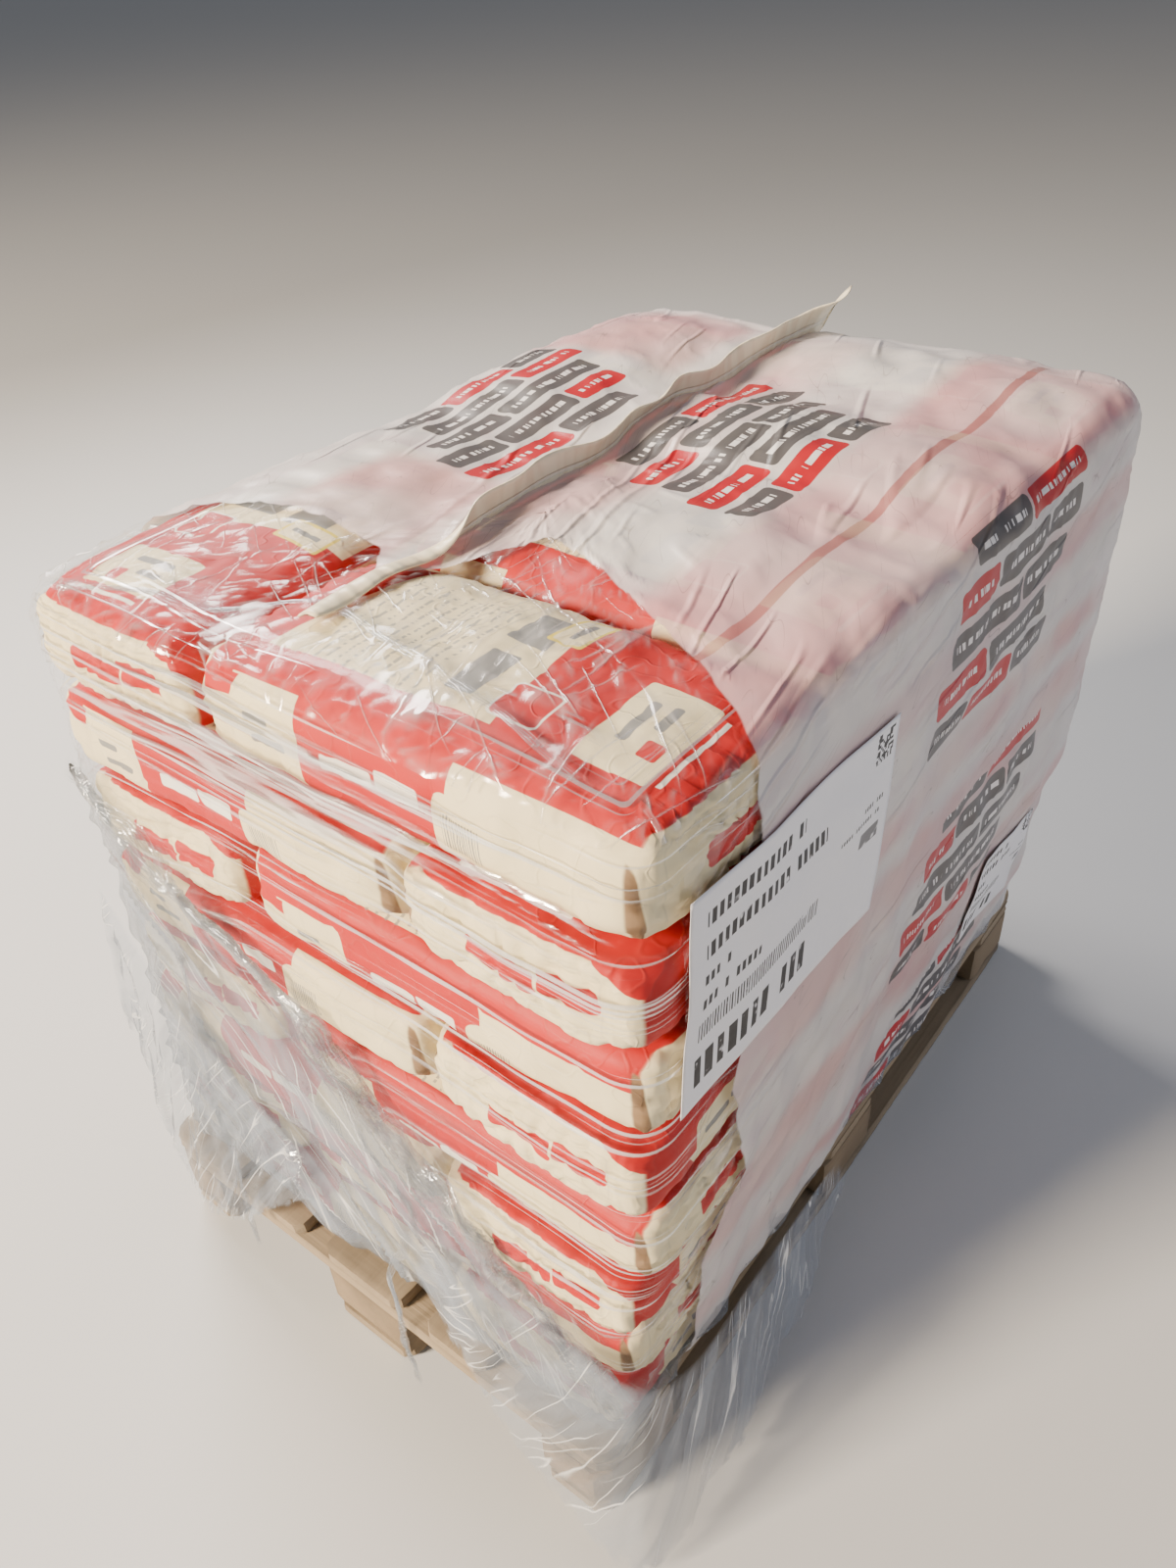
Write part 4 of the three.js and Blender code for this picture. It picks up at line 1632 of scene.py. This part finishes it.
@dataclass
class FilmRope:
    """A band of film pulled together into a loose, pleated and twisted rope."""

    name: str
    stops: tuple[Place, ...]
    spread: float
    depth: float
    pleats: int
    seed: int
    out: Place = (-1.0, 0.0, 0.0)
    cells_per_pleat: int = 4
    spacing: float = 0.006
    haze: float = 0.7

    def build(self, film: Material) -> None:
        """Makes the rope.

        Formula: at each step along the line, a zigzag of pleats across it, turned about the line by a slow
        twist and pinched and spread by slow waves.

        Args:
            film: Its finish.
        """
        rng = np.random.default_rng(self.seed)
        rough = curve(self.stops, 60)
        length = float(np.linalg.norm(np.diff(rough, axis=0), axis=1).sum())
        rows, columns = int(length / self.spacing), self.pleats * self.cells_per_pleat + 1
        line = curve(self.stops, rows)
        walked = np.linspace(0.0, length, rows)[:, None]
        ahead = np.gradient(line, axis=0)
        ahead /= np.linalg.norm(ahead, axis=1, keepdims=True)
        side = np.cross(ahead, np.array(self.out))
        side /= np.linalg.norm(side, axis=1, keepdims=True)
        out = np.cross(side, ahead)
        share = np.linspace(-0.5, 0.5, columns)[None, :]
        twist = 0.7 * ripples(walked, rng, 5, 0.15, 0.5)[:, None]
        pinch = 0.75 + 0.25 * ripples(walked, rng, 6, 0.08, 0.4)[:, None]
        across = np.broadcast_to(share, (rows, columns))
        both = np.stack([np.broadcast_to(walked, across.shape), across * self.spread], axis=-1)
        phase = self.pleats * across + 0.35 * ripples(both, rng, 6, 0.05, 0.2)
        zigzag = 2.0 * np.abs(2.0 * (phase - np.floor(phase + 0.5))) - 1.0
        flat = self.spread * pinch * (across + 0.05 * ripples(both, rng, 6, 0.02, 0.07))
        deep = self.depth * (zigzag * 0.5 * (1.25 - 0.5 * pinch) + 0.10 * ripples(both, rng, 9, 0.012, 0.05))
        wave = 0.5 * self.depth * ripples(walked, rng, 5, 0.06, 0.2)[:, None]
        along_side = flat * np.cos(twist) - deep * np.sin(twist) + wave
        along_out = flat * np.sin(twist) + deep * np.cos(twist)
        aside = along_side[..., None] * side[:, None, :]
        points = line[:, None, :] + aside + along_out[..., None] * out[:, None, :]
        ends = smooth(0.0, 0.03, walked) * smooth(length, length - 0.03, walked)
        ridge = 0.8 * np.clip(np.abs(zigzag), 0.0, 1.0) ** 4
        piece = loose_film(self.name, film, points, (both[..., 0], both[..., 1]), self.haze, ridge, ends)


@dataclass
class FilmFlap:
    """A loose flap of film between two lines, with folds that fan out down it."""

    name: str
    upper: tuple[Place, ...]
    lower: tuple[Place, ...]
    out: Place
    bulge: float
    fold: float
    seed: int
    haze: float = 1.0
    ease: float = 1.05
    columns: int = 90
    spacing: float = 0.006
    most_sunk: float = 0.004

    def build(self, film: Material) -> None:
        """Makes the flap.

        Formula: straight lines from the upper to the lower line, bulged outwards by a half sine, and moved by
        ripples that are short across the flap and long down it.

        Args:
            film: Its finish.
        """
        rng = np.random.default_rng(self.seed)
        columns = self.columns
        top, foot = curve(self.upper, columns), curve(self.lower, columns)
        width = float(np.linalg.norm(np.diff(foot, axis=0), axis=1).sum())
        drop = float(np.linalg.norm(foot - top, axis=1).mean())
        rows = max(int(drop / self.spacing), 12)
        down = np.linspace(0.0, 1.0, rows)[:, None]
        share = np.linspace(0.0, 1.0, columns)[None, :]
        points = top[None] + (foot - top)[None] * down[..., None]
        both = np.stack([np.broadcast_to(share * width, (rows, columns)),
                         np.broadcast_to(down * drop, (rows, columns)) * 0.35], axis=-1)
        broad = self.fold * ripples(both, rng, 9, 0.06, 0.22) * smooth(0.0, 0.35, down)
        sharp = self.fold * 0.8 * crest(ripples(both, rng, 8, 0.04, 0.12), 0.25) * smooth(0.0, 0.2, down)
        swing = self.bulge * np.sin(math.pi * down) + broad + sharp
        points = points + np.clip(swing, -self.most_sunk, None)[..., None] * np.array(self.out)
        hem = ripples(both[-1:, :, :1] * 3.0, rng, 7, 0.03, 0.2)
        torn = smooth(1.0, 0.985, down + 0.05 * (1.0 + hem) * (down > 0.5))
        torn = torn * smooth(0.0, 0.03, share) * smooth(1.0, 0.97, share) * smooth(-0.01, 0.06, down)
        at = np.meshgrid(share[0] * width, down[:, 0] * drop)
        piece = loose_film(self.name, film, points, at, self.haze, np.zeros((rows, columns)), torn)


@dataclass
class StretchHood:
    """Milky printed hood over the top and three sides, open at the clear end but for a lip."""

    hull: LoadHull
    relief: ReliefMap
    clearance: float = 0.0062
    pull_height: float = 0.0026
    crease_height: float = 0.0016
    clear_crease_height: float = 0.0018
    small_height: float = 0.0003
    clear_small_height: float = 0.0014
    gather_height: float = 0.0024
    fan_height: float = 0.0026
    seed: int = 73
    corner_seed: int = 74
    bottom: float = 0.112
    end_cut: float = 0.030
    lip: float = 0.052
    pinch_at: Pair = (-0.560, 0.062)
    print_pinch_at: Pair = (-0.255, -0.040)
    corner_pinch_at: Pair = (-0.500, -0.285)
    edge_line: tuple[Pair, ...] = (
        (-1.400, -0.440), (-1.120, -0.455), (-0.980, -0.415), (-0.830, -0.440), (-0.700, -0.406),
        (-0.505, -0.418), (-0.452, -0.408), (-0.340, -0.334), (-0.227, -0.274), (-0.159, -0.241),
        (-0.104, -0.232), (-0.050, -0.320), (-0.011, -0.384), (0.037, -0.324), (0.100, -0.316),
        (0.237, -0.329), (0.342, -0.407), (0.48, -0.435), (0.66, -0.395), (0.85, -0.445), (1.05, -0.400),
        (1.30, -0.430))

    def across(self, turn: Array, rise: Array, points: Array) -> tuple[Array, Array]:
        """The sheet's own coordinates: along the load, and across it down both long sides.

        Formula: over the top they are X and Y. Down a side, the distance from the edge is added to the one
        that faces out there.

        Args:
            turn: Metres round.
            rise: Metres up.
            points: The hood's points.

        Returns:
            Along and across.
        """
        _, _, angle = self.hull.frame_at(turn)
        low, high = self.hull.boxes[-1][:2], self.hull.boxes[-1][2:]
        core = np.clip(points[..., :2], low + self.hull.top_rounding, high - self.hull.top_rounding)
        down = self.hull.edge - rise
        return core[..., 0] + np.cos(angle) * down, core[..., 1] + np.sin(angle) * down

    def pasted(self, base: Array) -> Array:
        """How firmly a label holds the film flat.

        Args:
            base: The hull's points under the film.

        Returns:
            1 under a label, fading to 0 within 30 mm round it.
        """
        held = np.zeros(base.shape[:-1])
        for node in ("pallet_label", "pallet_label_2"):
            low, high = box_round(node)
            inside = np.minimum(base - low, high - base)[..., [0, 2]].min(axis=-1)
            held = np.maximum(held, smooth(-0.030, 0.0, inside) * (base[..., 1] < high[1] + 0.030))
        return held

    def blush(self, along: Array, across: Array, rng: np.random.Generator) -> Array:
        """How red the sacks shine through the milky print, in soft patches over their red blocks.

        Args:
            along: The sheet's coordinate along the load.
            across: The sheet's coordinate across it.
            rng: Source of the patches' mottling.

        Returns:
            The redness, from 0 to 1.
        """
        def soft(value: Array, low: float, high: float, ease: float) -> Array:
            """1 between two values, with soft edges."""
            return smooth(low - ease, low + ease, value) * (1.0 - smooth(high - ease, high + ease, value))

        low, high = self.hull.boxes[-1][:2], self.hull.boxes[-1][2:]
        rounding = self.hull.top_rounding
        past_end = along - high[0] + rounding
        down = np.maximum(np.maximum(low[1] + rounding - across, across - high[1] + rounding), past_end)
        patches = soft(across, -0.47, -0.255, 0.022) * (1.0 - smooth(0.0, 0.05, past_end))
        for near, far, start, end in ((0.02, 0.20, -0.38, -0.13), (0.08, 0.34, 0.24, 0.50)):
            patches = np.maximum(patches, soft(across, near, far, 0.02) * soft(along, start, end, 0.025))
        patches = np.maximum(patches, 0.8 * soft(across, -0.12, -0.02, 0.03) * soft(along, -0.30, 0.46, 0.03))
        for start, end in ((0.12, 0.18), (0.27, 0.32), (0.36, 0.44), (0.56, 0.70), (0.79, 0.84)):
            patches = np.maximum(patches, 0.8 * soft(down, start, end, 0.018))
        places = np.stack([along, across], axis=-1)
        return patches * (0.50 + 0.50 * smooth(-0.5, 0.5, ripples(places, rng, 9, 0.16, 0.60)))

    def build(self) -> FilmSheet:
        """Makes the hood's film.

        Returns:
            Its sheet, for the seam and the labels.
        """
        rng = np.random.default_rng(self.seed)
        hull = self.hull
        west = hull.starts[6:8]
        around = even_steps([0.0, hull.starts[1], hull.starts[5], west[0], west[1], hull.girth],
                            [0.0072, 0.0105, 0.013, 0.009, 0.006])[:-1]
        up = even_steps([self.bottom, 0.62, hull.edge], [0.0105, 0.0070])
        half_depth = float(hull.boxes[-1][3] - hull.boxes[-1][1]) / 2.0
        inward = even_steps([0.0, half_depth - hull.top_rounding + 0.001], [0.0085])[1:]
        sheet = FilmSheet(hull, self.relief, self.clearance, around, up, inward)
        turn, rise, drawn = sheet.places()
        base, _ = hull.surface(turn, rise, drawn)
        along, across = self.across(turn, rise, base)
        places = np.stack([along, across], axis=-1)
        print_edge = along - np.interp(across, *np.array(self.edge_line).T)
        clear = 1.0 - smooth(-0.02, 0.05, print_edge)
        pull = ripples(places @ np.array([[0.55, 1.5], [1.6, -0.35]]), rng, 8, 0.10, 0.36)
        creases = crest(pull, 0.14)
        small = crest(ripples(places, rng, 9, 0.035, 0.11), 0.15)
        gathers = ripples(places * np.array([2.2, 0.3]), rng, 8, 0.12, 0.40) + 0.7
        hanging = 1.0 - smooth(0.45, 1.00, rise)
        fan = pinched(places, self.pinch_at, 8.0, 0.17, rng)
        fan = fan + pinched(places, self.print_pinch_at, 7.0, 0.15, rng)
        fan = fan + pinched(places, self.corner_pinch_at, 7.0, 0.13, np.random.default_rng(self.corner_seed))
        wrinkle = (self.pull_height * pull + self.crease_height * creases + self.small_height * small
                   + self.clear_small_height * small * clear + self.gather_height * hanging * gathers
                   + self.clear_crease_height * clear * creases + self.fan_height * fan)
        points = sheet.lay(turn, rise, drawn, wrinkle * (1.0 - 0.9 * self.pasted(base)))
        carried = {"sheet_at": flat_vectors(along, across), "print_edge": print_edge,
                   "blush": self.blush(along, across, rng),
                   "ridge": np.clip(creases * 0.5 + small * 0.35 + fan * 0.9, 0.0, 1.0)}
        faces = grid_faces(*turn.shape, True)
        west_side = (turn > west[0] - hull.arc * 0.5) | (turn < self.end_cut - hull.plan_corner)
        gone = west_side & (rise < hull.edge - self.lip)
        skin = sheet_skin(points, faces[~gone.ravel()[faces[:, 0]]], carried)
        piece = make_piece("stretch_hood_film", skin, HoodFilm().make(), ["stretch_hood"])
        drop_loose_points(piece)
        side = 2.0 * (hull.shoulder - self.bottom)
        depth, length = 2.0 * half_depth, float(hull.boxes[-1][2] - hull.boxes[-1][0])
        area = (side / 2.0) * (2.0 * length + depth) + depth * length
        length + side / 2.0
        depth + side
        area * 1.02
        return sheet


@dataclass
class FinSeam:
    """The hood's welded fin: a thin strip that stands along the top, sways, and lies down at its near end."""

    sheet: FilmSheet
    start: Pair = (-0.478, -0.006)
    end: Pair = (0.545, 0.020)
    height: float = 0.034
    thickness: float = 0.0018
    raised_end: float = 1.30
    sunk: float = 0.0035
    lying_rise: float = 0.0030
    sections: int = 170
    steps_up: int = 8
    cream: Colour = (0.93, 0.84, 0.62)
    cream_dark: Colour = (0.82, 0.68, 0.48)
    weld_pale: Colour = (0.90, 0.86, 0.78)

    def build(self) -> None:
        """Makes the fin.

        Formula: the path runs straight from start to end and sways by sine waves. Each section is a thin
        closed loop round a line that leans to one side by a swaying share of its height.
        """
        share = np.linspace(0.0, 1.0, self.sections)
        start, end = np.array(self.start), np.array(self.end)
        run = end - start
        side = np.array([-run[1], run[0]]) / np.linalg.norm(run)
        upright = smooth(0.10, 0.26, share)
        sway = 0.010 * np.sin(share * 9.0 + 2.0) + 0.003 * np.sin(share * 23.0)
        sway = sway * np.sin(share * math.pi) - 0.006
        foot = start + share[:, None] * run + side * sway[:, None]
        lean = (1.10 - 0.85 * upright) + 0.22 * np.sin(share * 14.0) + 0.12 * np.sin(share * 47.0)
        climb = np.linspace(0.0, 1.0, self.steps_up)
        profile = np.concatenate([climb, np.linspace(1.0, 0.0, self.steps_up)])
        offset = np.repeat([0.5, -0.5], self.steps_up) * self.thickness
        tall = (0.75 + 0.25 * upright) * (1.0 + self.raised_end * smooth(0.90, 1.0, share))
        reach = self.height * profile[None, :] * tall[:, None]
        curl = lean[:, None] * (0.6 + 0.6 * profile[None, :])
        aside = -reach * np.sin(curl) + offset[None, :] * np.cos(curl)
        rise = reach * np.cos(curl) + offset[None, :] * np.sin(curl) + self.lying_rise
        rise -= (self.sunk + self.lying_rise) * upright[:, None]
        points = np.empty((*rise.shape, 3))
        points[..., :2] = foot[:, None, :] + side * aside[..., None]
        points[..., 2] = self.level(foot)[:, None] + rise
        up, along = np.meshgrid(profile * self.height, share * np.linalg.norm(run))
        at = flat_vectors(along, up)
        skin = capped_tube(points, points[0].mean(axis=0), points[-1].mean(axis=0),
                           {"sheet_at": (at, at[0, 0], at[-1, 0])})
        make_piece("fin_seam", skin, self.finish(), ["stretch_hood"])

    def level(self, foot: Array) -> Array:
        """The hood's height under places on the top.

        Args:
            foot: X and Y of each place.

        Returns:
            Height of each.
        """
        row, column = ((foot - self.sheet.relief.origin) / self.sheet.relief.cell - 0.5).T
        stand = sampled(self.sheet.relief.upper, row, column, False)
        return self.sheet.hull.top + stand + self.sheet.clearance

    def finish(self) -> Material:
        """Builds the doubled film of the fin: cream, gathered, and pale along its weld.

        Returns:
            The fin's material.
        """
        s = Shader("fin_seam_film")
        at = s.carried("sheet_at")
        _, up, _ = s.axes(at)
        gathers = s.noise(at, (55.0, 14.0))
        weld = up.between(0.008, 0.012, 0.001)
        colour = s.blend(gathers.step(0.35, 0.7) * 0.7, self.cream, self.cream_dark)
        colour = s.blend(weld * 0.4, colour, self.weld_pale)
        bent = s.bump(gathers + weld * 0.5, 0.0028)
        return s.finish(s.body(Base_Color=colour, Roughness=0.34, Normal=bent))


@dataclass
class StuckLabel:
    """A paper label stuck on the hood, wavy where the film is."""

    node: str
    sheet: FilmSheet
    width: float
    height: float
    tilt: float
    wave: float
    spacing: float = 0.006
    clearance: float = 0.0020
    thickness: float = 0.0005

    def build(self, seed: int) -> None:
        """Makes the label: a sheet that takes its distance from the hood under it.

        Args:
            seed: Seed of its waves.
        """
        low, high = box_round(self.node)
        middle = (low + high) / 2.0
        columns, rows = int(self.width / self.spacing), int(self.height / self.spacing)
        along, up = np.meshgrid(np.linspace(-0.5, 0.5, columns) * self.width,
                                np.linspace(-0.5, 0.5, rows) * self.height)
        x = middle[0] + along * math.cos(self.tilt) + up * math.sin(self.tilt)
        z = middle[2] - along * math.sin(self.tilt) + up * math.cos(self.tilt)
        hull = self.sheet.hull
        box = hull.box_at(z)
        share = (x - box[..., 0] - hull.plan_corner) / (box[..., 2] - box[..., 0] - 2.0 * hull.plan_corner)
        around = share * hull.sides[0]
        base, heading = hull.surface(around, z, np.zeros_like(z))
        rng = np.random.default_rng(seed)
        wave = self.wave * (0.5 + 0.5 * ripples(np.stack([along, up], axis=-1), rng, 8, 0.06, 0.25))
        hood = self.sheet.relief.outside(around, z, base) + self.sheet.clearance
        points = base + heading * (hood + self.clearance + wave)[..., None]
        skin = sheet_skin(points, grid_faces(rows, columns, False), {"label_at": flat_vectors(along, up)})
        name = f"{self.node}_sheet"
        material = LabelPrint().make(f"{name}_print", self.width, self.height)
        piece = make_piece(name, skin, material, [self.node])
        card = piece.modifiers.new("paper", "SOLIDIFY")
        card.thickness, card.offset = self.thickness, 0.0


# Pallet


@dataclass
class Pallet:
    """The wooden block pallet: each board and block a worn, rough sawn bar in its packed place."""

    deck: SawnWood = SawnWood("deck_board_wood", (0.38, 0.30, 0.205), (0.22, 0.16, 0.10))
    block: SawnWood = SawnWood("pallet_block_wood", (0.33, 0.25, 0.16), (0.19, 0.13, 0.078))
    half_plan: Pair = (0.600, 0.400)
    chamfer: float = 0.020
    edge_power: float = 44.0
    end_power: float = 40.0
    wear_depth: float = 0.0022
    sharp_angle: float = math.radians(32.0)
    spacing: float = 0.011
    first_seed: int = 700

    def bar(self, node: str, seed: int) -> Skin:
        """One board or block.

        Formula: a section |a|^n + |b|^n = 1 of high power, carried along the longest side and closed at
        both ends, with splinters and dents taken off its edges. Points past a sawn corner of the pallet
        move back to its cut.

        Args:
            node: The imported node.
            seed: Seed of its wear.

        Returns:
            The closed skin, with coordinates along the grain.
        """
        low, high = box_round(node)
        size, middle = high - low, (high + low) / 2.0
        order = [0, 1, 2] if size[0] >= size[1] else [1, 0, 2]
        length, width, height = size[order]
        rings = max(int(length / self.spacing / 1.6), 14)
        round_it = max(int(2.0 * (width + height) / self.spacing), 28)
        bar = RoundedBar(length, width, height, self.edge_power, self.end_power, 0.0)
        form, tips, _, _ = bar.form(rings, round_it)
        rng = np.random.default_rng(seed)
        share = np.abs(form / size[order] * 2.0)
        wear = smooth(0.80, 1.0, np.sort(share, axis=-1)[..., 1])
        chip = np.clip(ripples(form, rng, 12, 0.015, 0.09), 0.0, 1.0)
        form *= 1.0 - (self.wear_depth * wear * (0.25 + chip))[..., None] / size[order] * 2.0
        grain_at = form + rng.uniform(-3.0, 3.0, 3)
        carried = {
            "grain_at": (grain_at, grain_at[0, 0], grain_at[-1, 0]),
            "edge_wear": (wear[..., None], np.zeros(1), np.zeros(1)),
        }
        skin = capped_tube(form, tips[0], tips[1], carried)
        back = np.argsort(order)
        skin.points = skin.points[:, back] + middle
        if order[0] == 1:
            skin.faces = [faces[:, ::-1] for faces in skin.faces]
        past = np.abs(skin.points[:, :2]) - np.array(self.half_plan)
        excess = np.clip(past.sum(axis=1) + self.chamfer, 0.0, None)
        skin.points[:, :2] -= np.sign(skin.points[:, :2]) * excess[:, None] / 2.0
        return skin

    def build(self) -> None:
        """Makes the boards and blocks."""
        finishes = {"deck_wood": self.deck.make(), "block_wood": self.block.make()}
        for number, node in enumerate(sorted(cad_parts)):
            is_block = node.startswith("block_")
            if not is_block and "_board_" not in node:
                continue
            slot = "block_wood" if is_block else "deck_wood"
            bar = self.bar(node, self.first_seed + number)
            piece = make_piece(f"{node}_timber", bar, finishes[slot], [node])
            piece.data.set_sharp_from_angle(angle=self.sharp_angle)


# Studio


@dataclass(frozen=True)
class Lamp:
    """A square area light, aimed at a target."""

    name: str
    at: Place
    target: Place
    size: float
    power: float
    colour: Colour

    def build(self) -> None:
        """Adds the light."""
        data = bpy.data.lights.new(self.name, "AREA")
        data.shape, data.size, data.energy, data.color = "SQUARE", self.size, self.power, self.colour
        light = bpy.data.objects.new(self.name, data)
        light.location = self.at
        light.rotation_euler = (Vector(self.target) - Vector(self.at)).to_track_quat("-Z", "Y").to_euler()
        bpy.context.scene.collection.objects.link(light)


@dataclass
class Studio:
    """The floor, the soft lights and the camera at the photo's viewing angle."""

    camera_at: Place = (-1.0657, -0.8283, 1.5621)
    yaw: float = 0.69269
    pitch: float = 0.63260
    roll: float = -0.06443
    focal_share: float = 1219.2 / 1600.0
    sensor: float = 36.0
    floor_half: float = 60.0
    sky: Colour = (0.86, 0.89, 0.95)
    sky_strength: float = 0.20
    lamps: tuple[Lamp, ...] = (
        Lamp("key_light", (-9.0, 3.6, 5.1), (-0.2, 0.0, 0.90), 2.6, 3700.0, (1.0, 0.82, 0.60)),
        Lamp("top_light", (0.6, 2.6, 3.0), (0.2, 0.0, 1.0), 1.6, 190.0, (1.0, 0.93, 0.86)),
        Lamp("side_light", (1.4, -3.6, 1.9), (0.0, -0.2, 0.6), 3.0, 45.0, (0.84, 0.88, 1.0)))

    def camera(self) -> None:
        """Places the camera: it looks along its yaw and down by its pitch, turned by its roll."""
        ahead = Vector((math.cos(self.pitch) * math.cos(self.yaw), math.cos(self.pitch) * math.sin(self.yaw),
                        -math.sin(self.pitch)))
        right = ahead.cross(Vector((0.0, 0.0, 1.0))).normalized()
        up = right.cross(ahead)
        turned_right = math.cos(self.roll) * right + math.sin(self.roll) * up
        turned_up = -math.sin(self.roll) * right + math.cos(self.roll) * up
        data = bpy.data.cameras.new("camera")
        data.sensor_fit, data.sensor_height = "VERTICAL", self.sensor
        data.lens = self.focal_share * self.sensor
        camera = bpy.data.objects.new("camera", data)
        axes = Matrix((turned_right, turned_up, -ahead)).transposed()
        camera.matrix_world = Matrix.Translation(self.camera_at) @ axes.to_4x4()
        bpy.context.scene.collection.objects.link(camera)
        bpy.context.scene.camera = camera

    def build(self) -> None:
        """Makes the camera, floor, lights and background."""
        self.camera()
        half = self.floor_half
        mesh = bpy.data.meshes.new("studio_floor")
        corners = [(-half, -half, 0.0), (half, -half, 0.0), (half, half, 0.0), (-half, half, 0.0)]
        mesh.from_pydata(corners, [], [(0, 1, 2, 3)])
        mesh.materials.append(PlainFloor().make())
        floor = bpy.data.objects.new("studio_floor", mesh)
        bpy.context.scene.collection.objects.link(floor)
        for lamp in self.lamps:
            lamp.build()
        world = bpy.data.worlds.new("studio")
        world.use_nodes = True
        background = world.node_tree.nodes["Background"]
        background.inputs["Color"].default_value = (*self.sky, 1.0)
        background.inputs["Strength"].default_value = self.sky_strength
        bpy.context.scene.world = world


ROPES = (
    FilmRope("slanting_film_rope", (
        (-0.572, 0.345, 0.810), (-0.584, 0.190, 0.722), (-0.586, 0.104, 0.683), (-0.588, -0.017, 0.630),
        (-0.586, -0.075, 0.553), (-0.587, -0.160, 0.482), (-0.592, -0.262, 0.412), (-0.592, -0.370, 0.335),
        (-0.592, -0.430, 0.285)), 0.050, 0.015, 7, 21),
    FilmRope("rim_film_fold", (
        (-0.552, 0.296, 1.041), (-0.520, 0.160, 1.054), (-0.496, 0.067, 1.050), (-0.446, 0.004, 1.055),
        (-0.466, -0.100, 1.061), (-0.505, -0.281, 1.060), (-0.530, -0.380, 1.049)), 0.013, 0.004, 3, 24,
        (0.0, 0.0, 1.0)),
    FilmRope("looped_film_tail", (
        (-0.588, -0.060, 0.560), (-0.592, -0.078, 0.478), (-0.594, -0.142, 0.388), (-0.594, -0.110, 0.300),
        (-0.596, -0.075, 0.225), (-0.608, -0.083, 0.145), (-0.622, -0.113, 0.030)), 0.016, 0.007, 4, 22),
    FilmRope("upright_film_fold", (
        (-0.588, 0.200, 0.620), (-0.588, 0.224, 0.495), (-0.592, 0.240, 0.326), (-0.598, 0.232, 0.200),
        (-0.614, 0.218, 0.030)), 0.014, 0.006, 3, 23))

FLAPS = (
    FilmFlap("corner_film_flap",
             ((-0.590, -0.130, 0.330), (-0.590, -0.300, 0.360), (-0.584, -0.436, 0.340),
              (-0.500, -0.444, 0.250), (-0.330, -0.430, 0.190), (-0.100, -0.420, 0.150)),
             ((-0.602, -0.120, 0.300), (-0.630, -0.330, 0.060), (-0.630, -0.470, 0.010),
              (-0.480, -0.480, 0.012), (-0.240, -0.460, 0.040), (-0.060, -0.425, 0.120)),
             (-0.55, -0.83, 0.0), 0.004, 0.005, 31),
    FilmFlap("left_film_flap",
             ((-0.580, 0.370, 0.620), (-0.588, 0.250, 0.480), (-0.588, 0.060, 0.330)),
             ((-0.590, 0.400, 0.400), (-0.622, 0.320, 0.040), (-0.606, 0.040, 0.280)),
             (-1.0, 0.0, 0.0), 0.004, 0.006, 32))


def main() -> None:
    """Builds the studio, the pallet, the sacks and the films."""
    logging.basicConfig(level=logging.INFO, format="%(name)s: %(message)s")
    Studio().build()
    Pallet().build()
    points = SackStack().build()
    hull = LoadHull()
    relief = ReliefMap(hull, points)
    film = ClearFilm().make()
    StretchWrap(hull, relief.stretched(5, 1)).build(film)
    for loose in (*ROPES, *FLAPS):
        loose.build(film)
    hood = StretchHood(hull, relief.stretched(5, 2)).build()
    FinSeam(hood).build()
    StuckLabel("pallet_label", hood, 0.350, 0.236, math.radians(3.4), 0.0012).build(11)
    StuckLabel("pallet_label_2", hood, 0.190, 0.150, math.radians(9.0), 0.006).build(12)


if __name__ == "__main__":
    main()
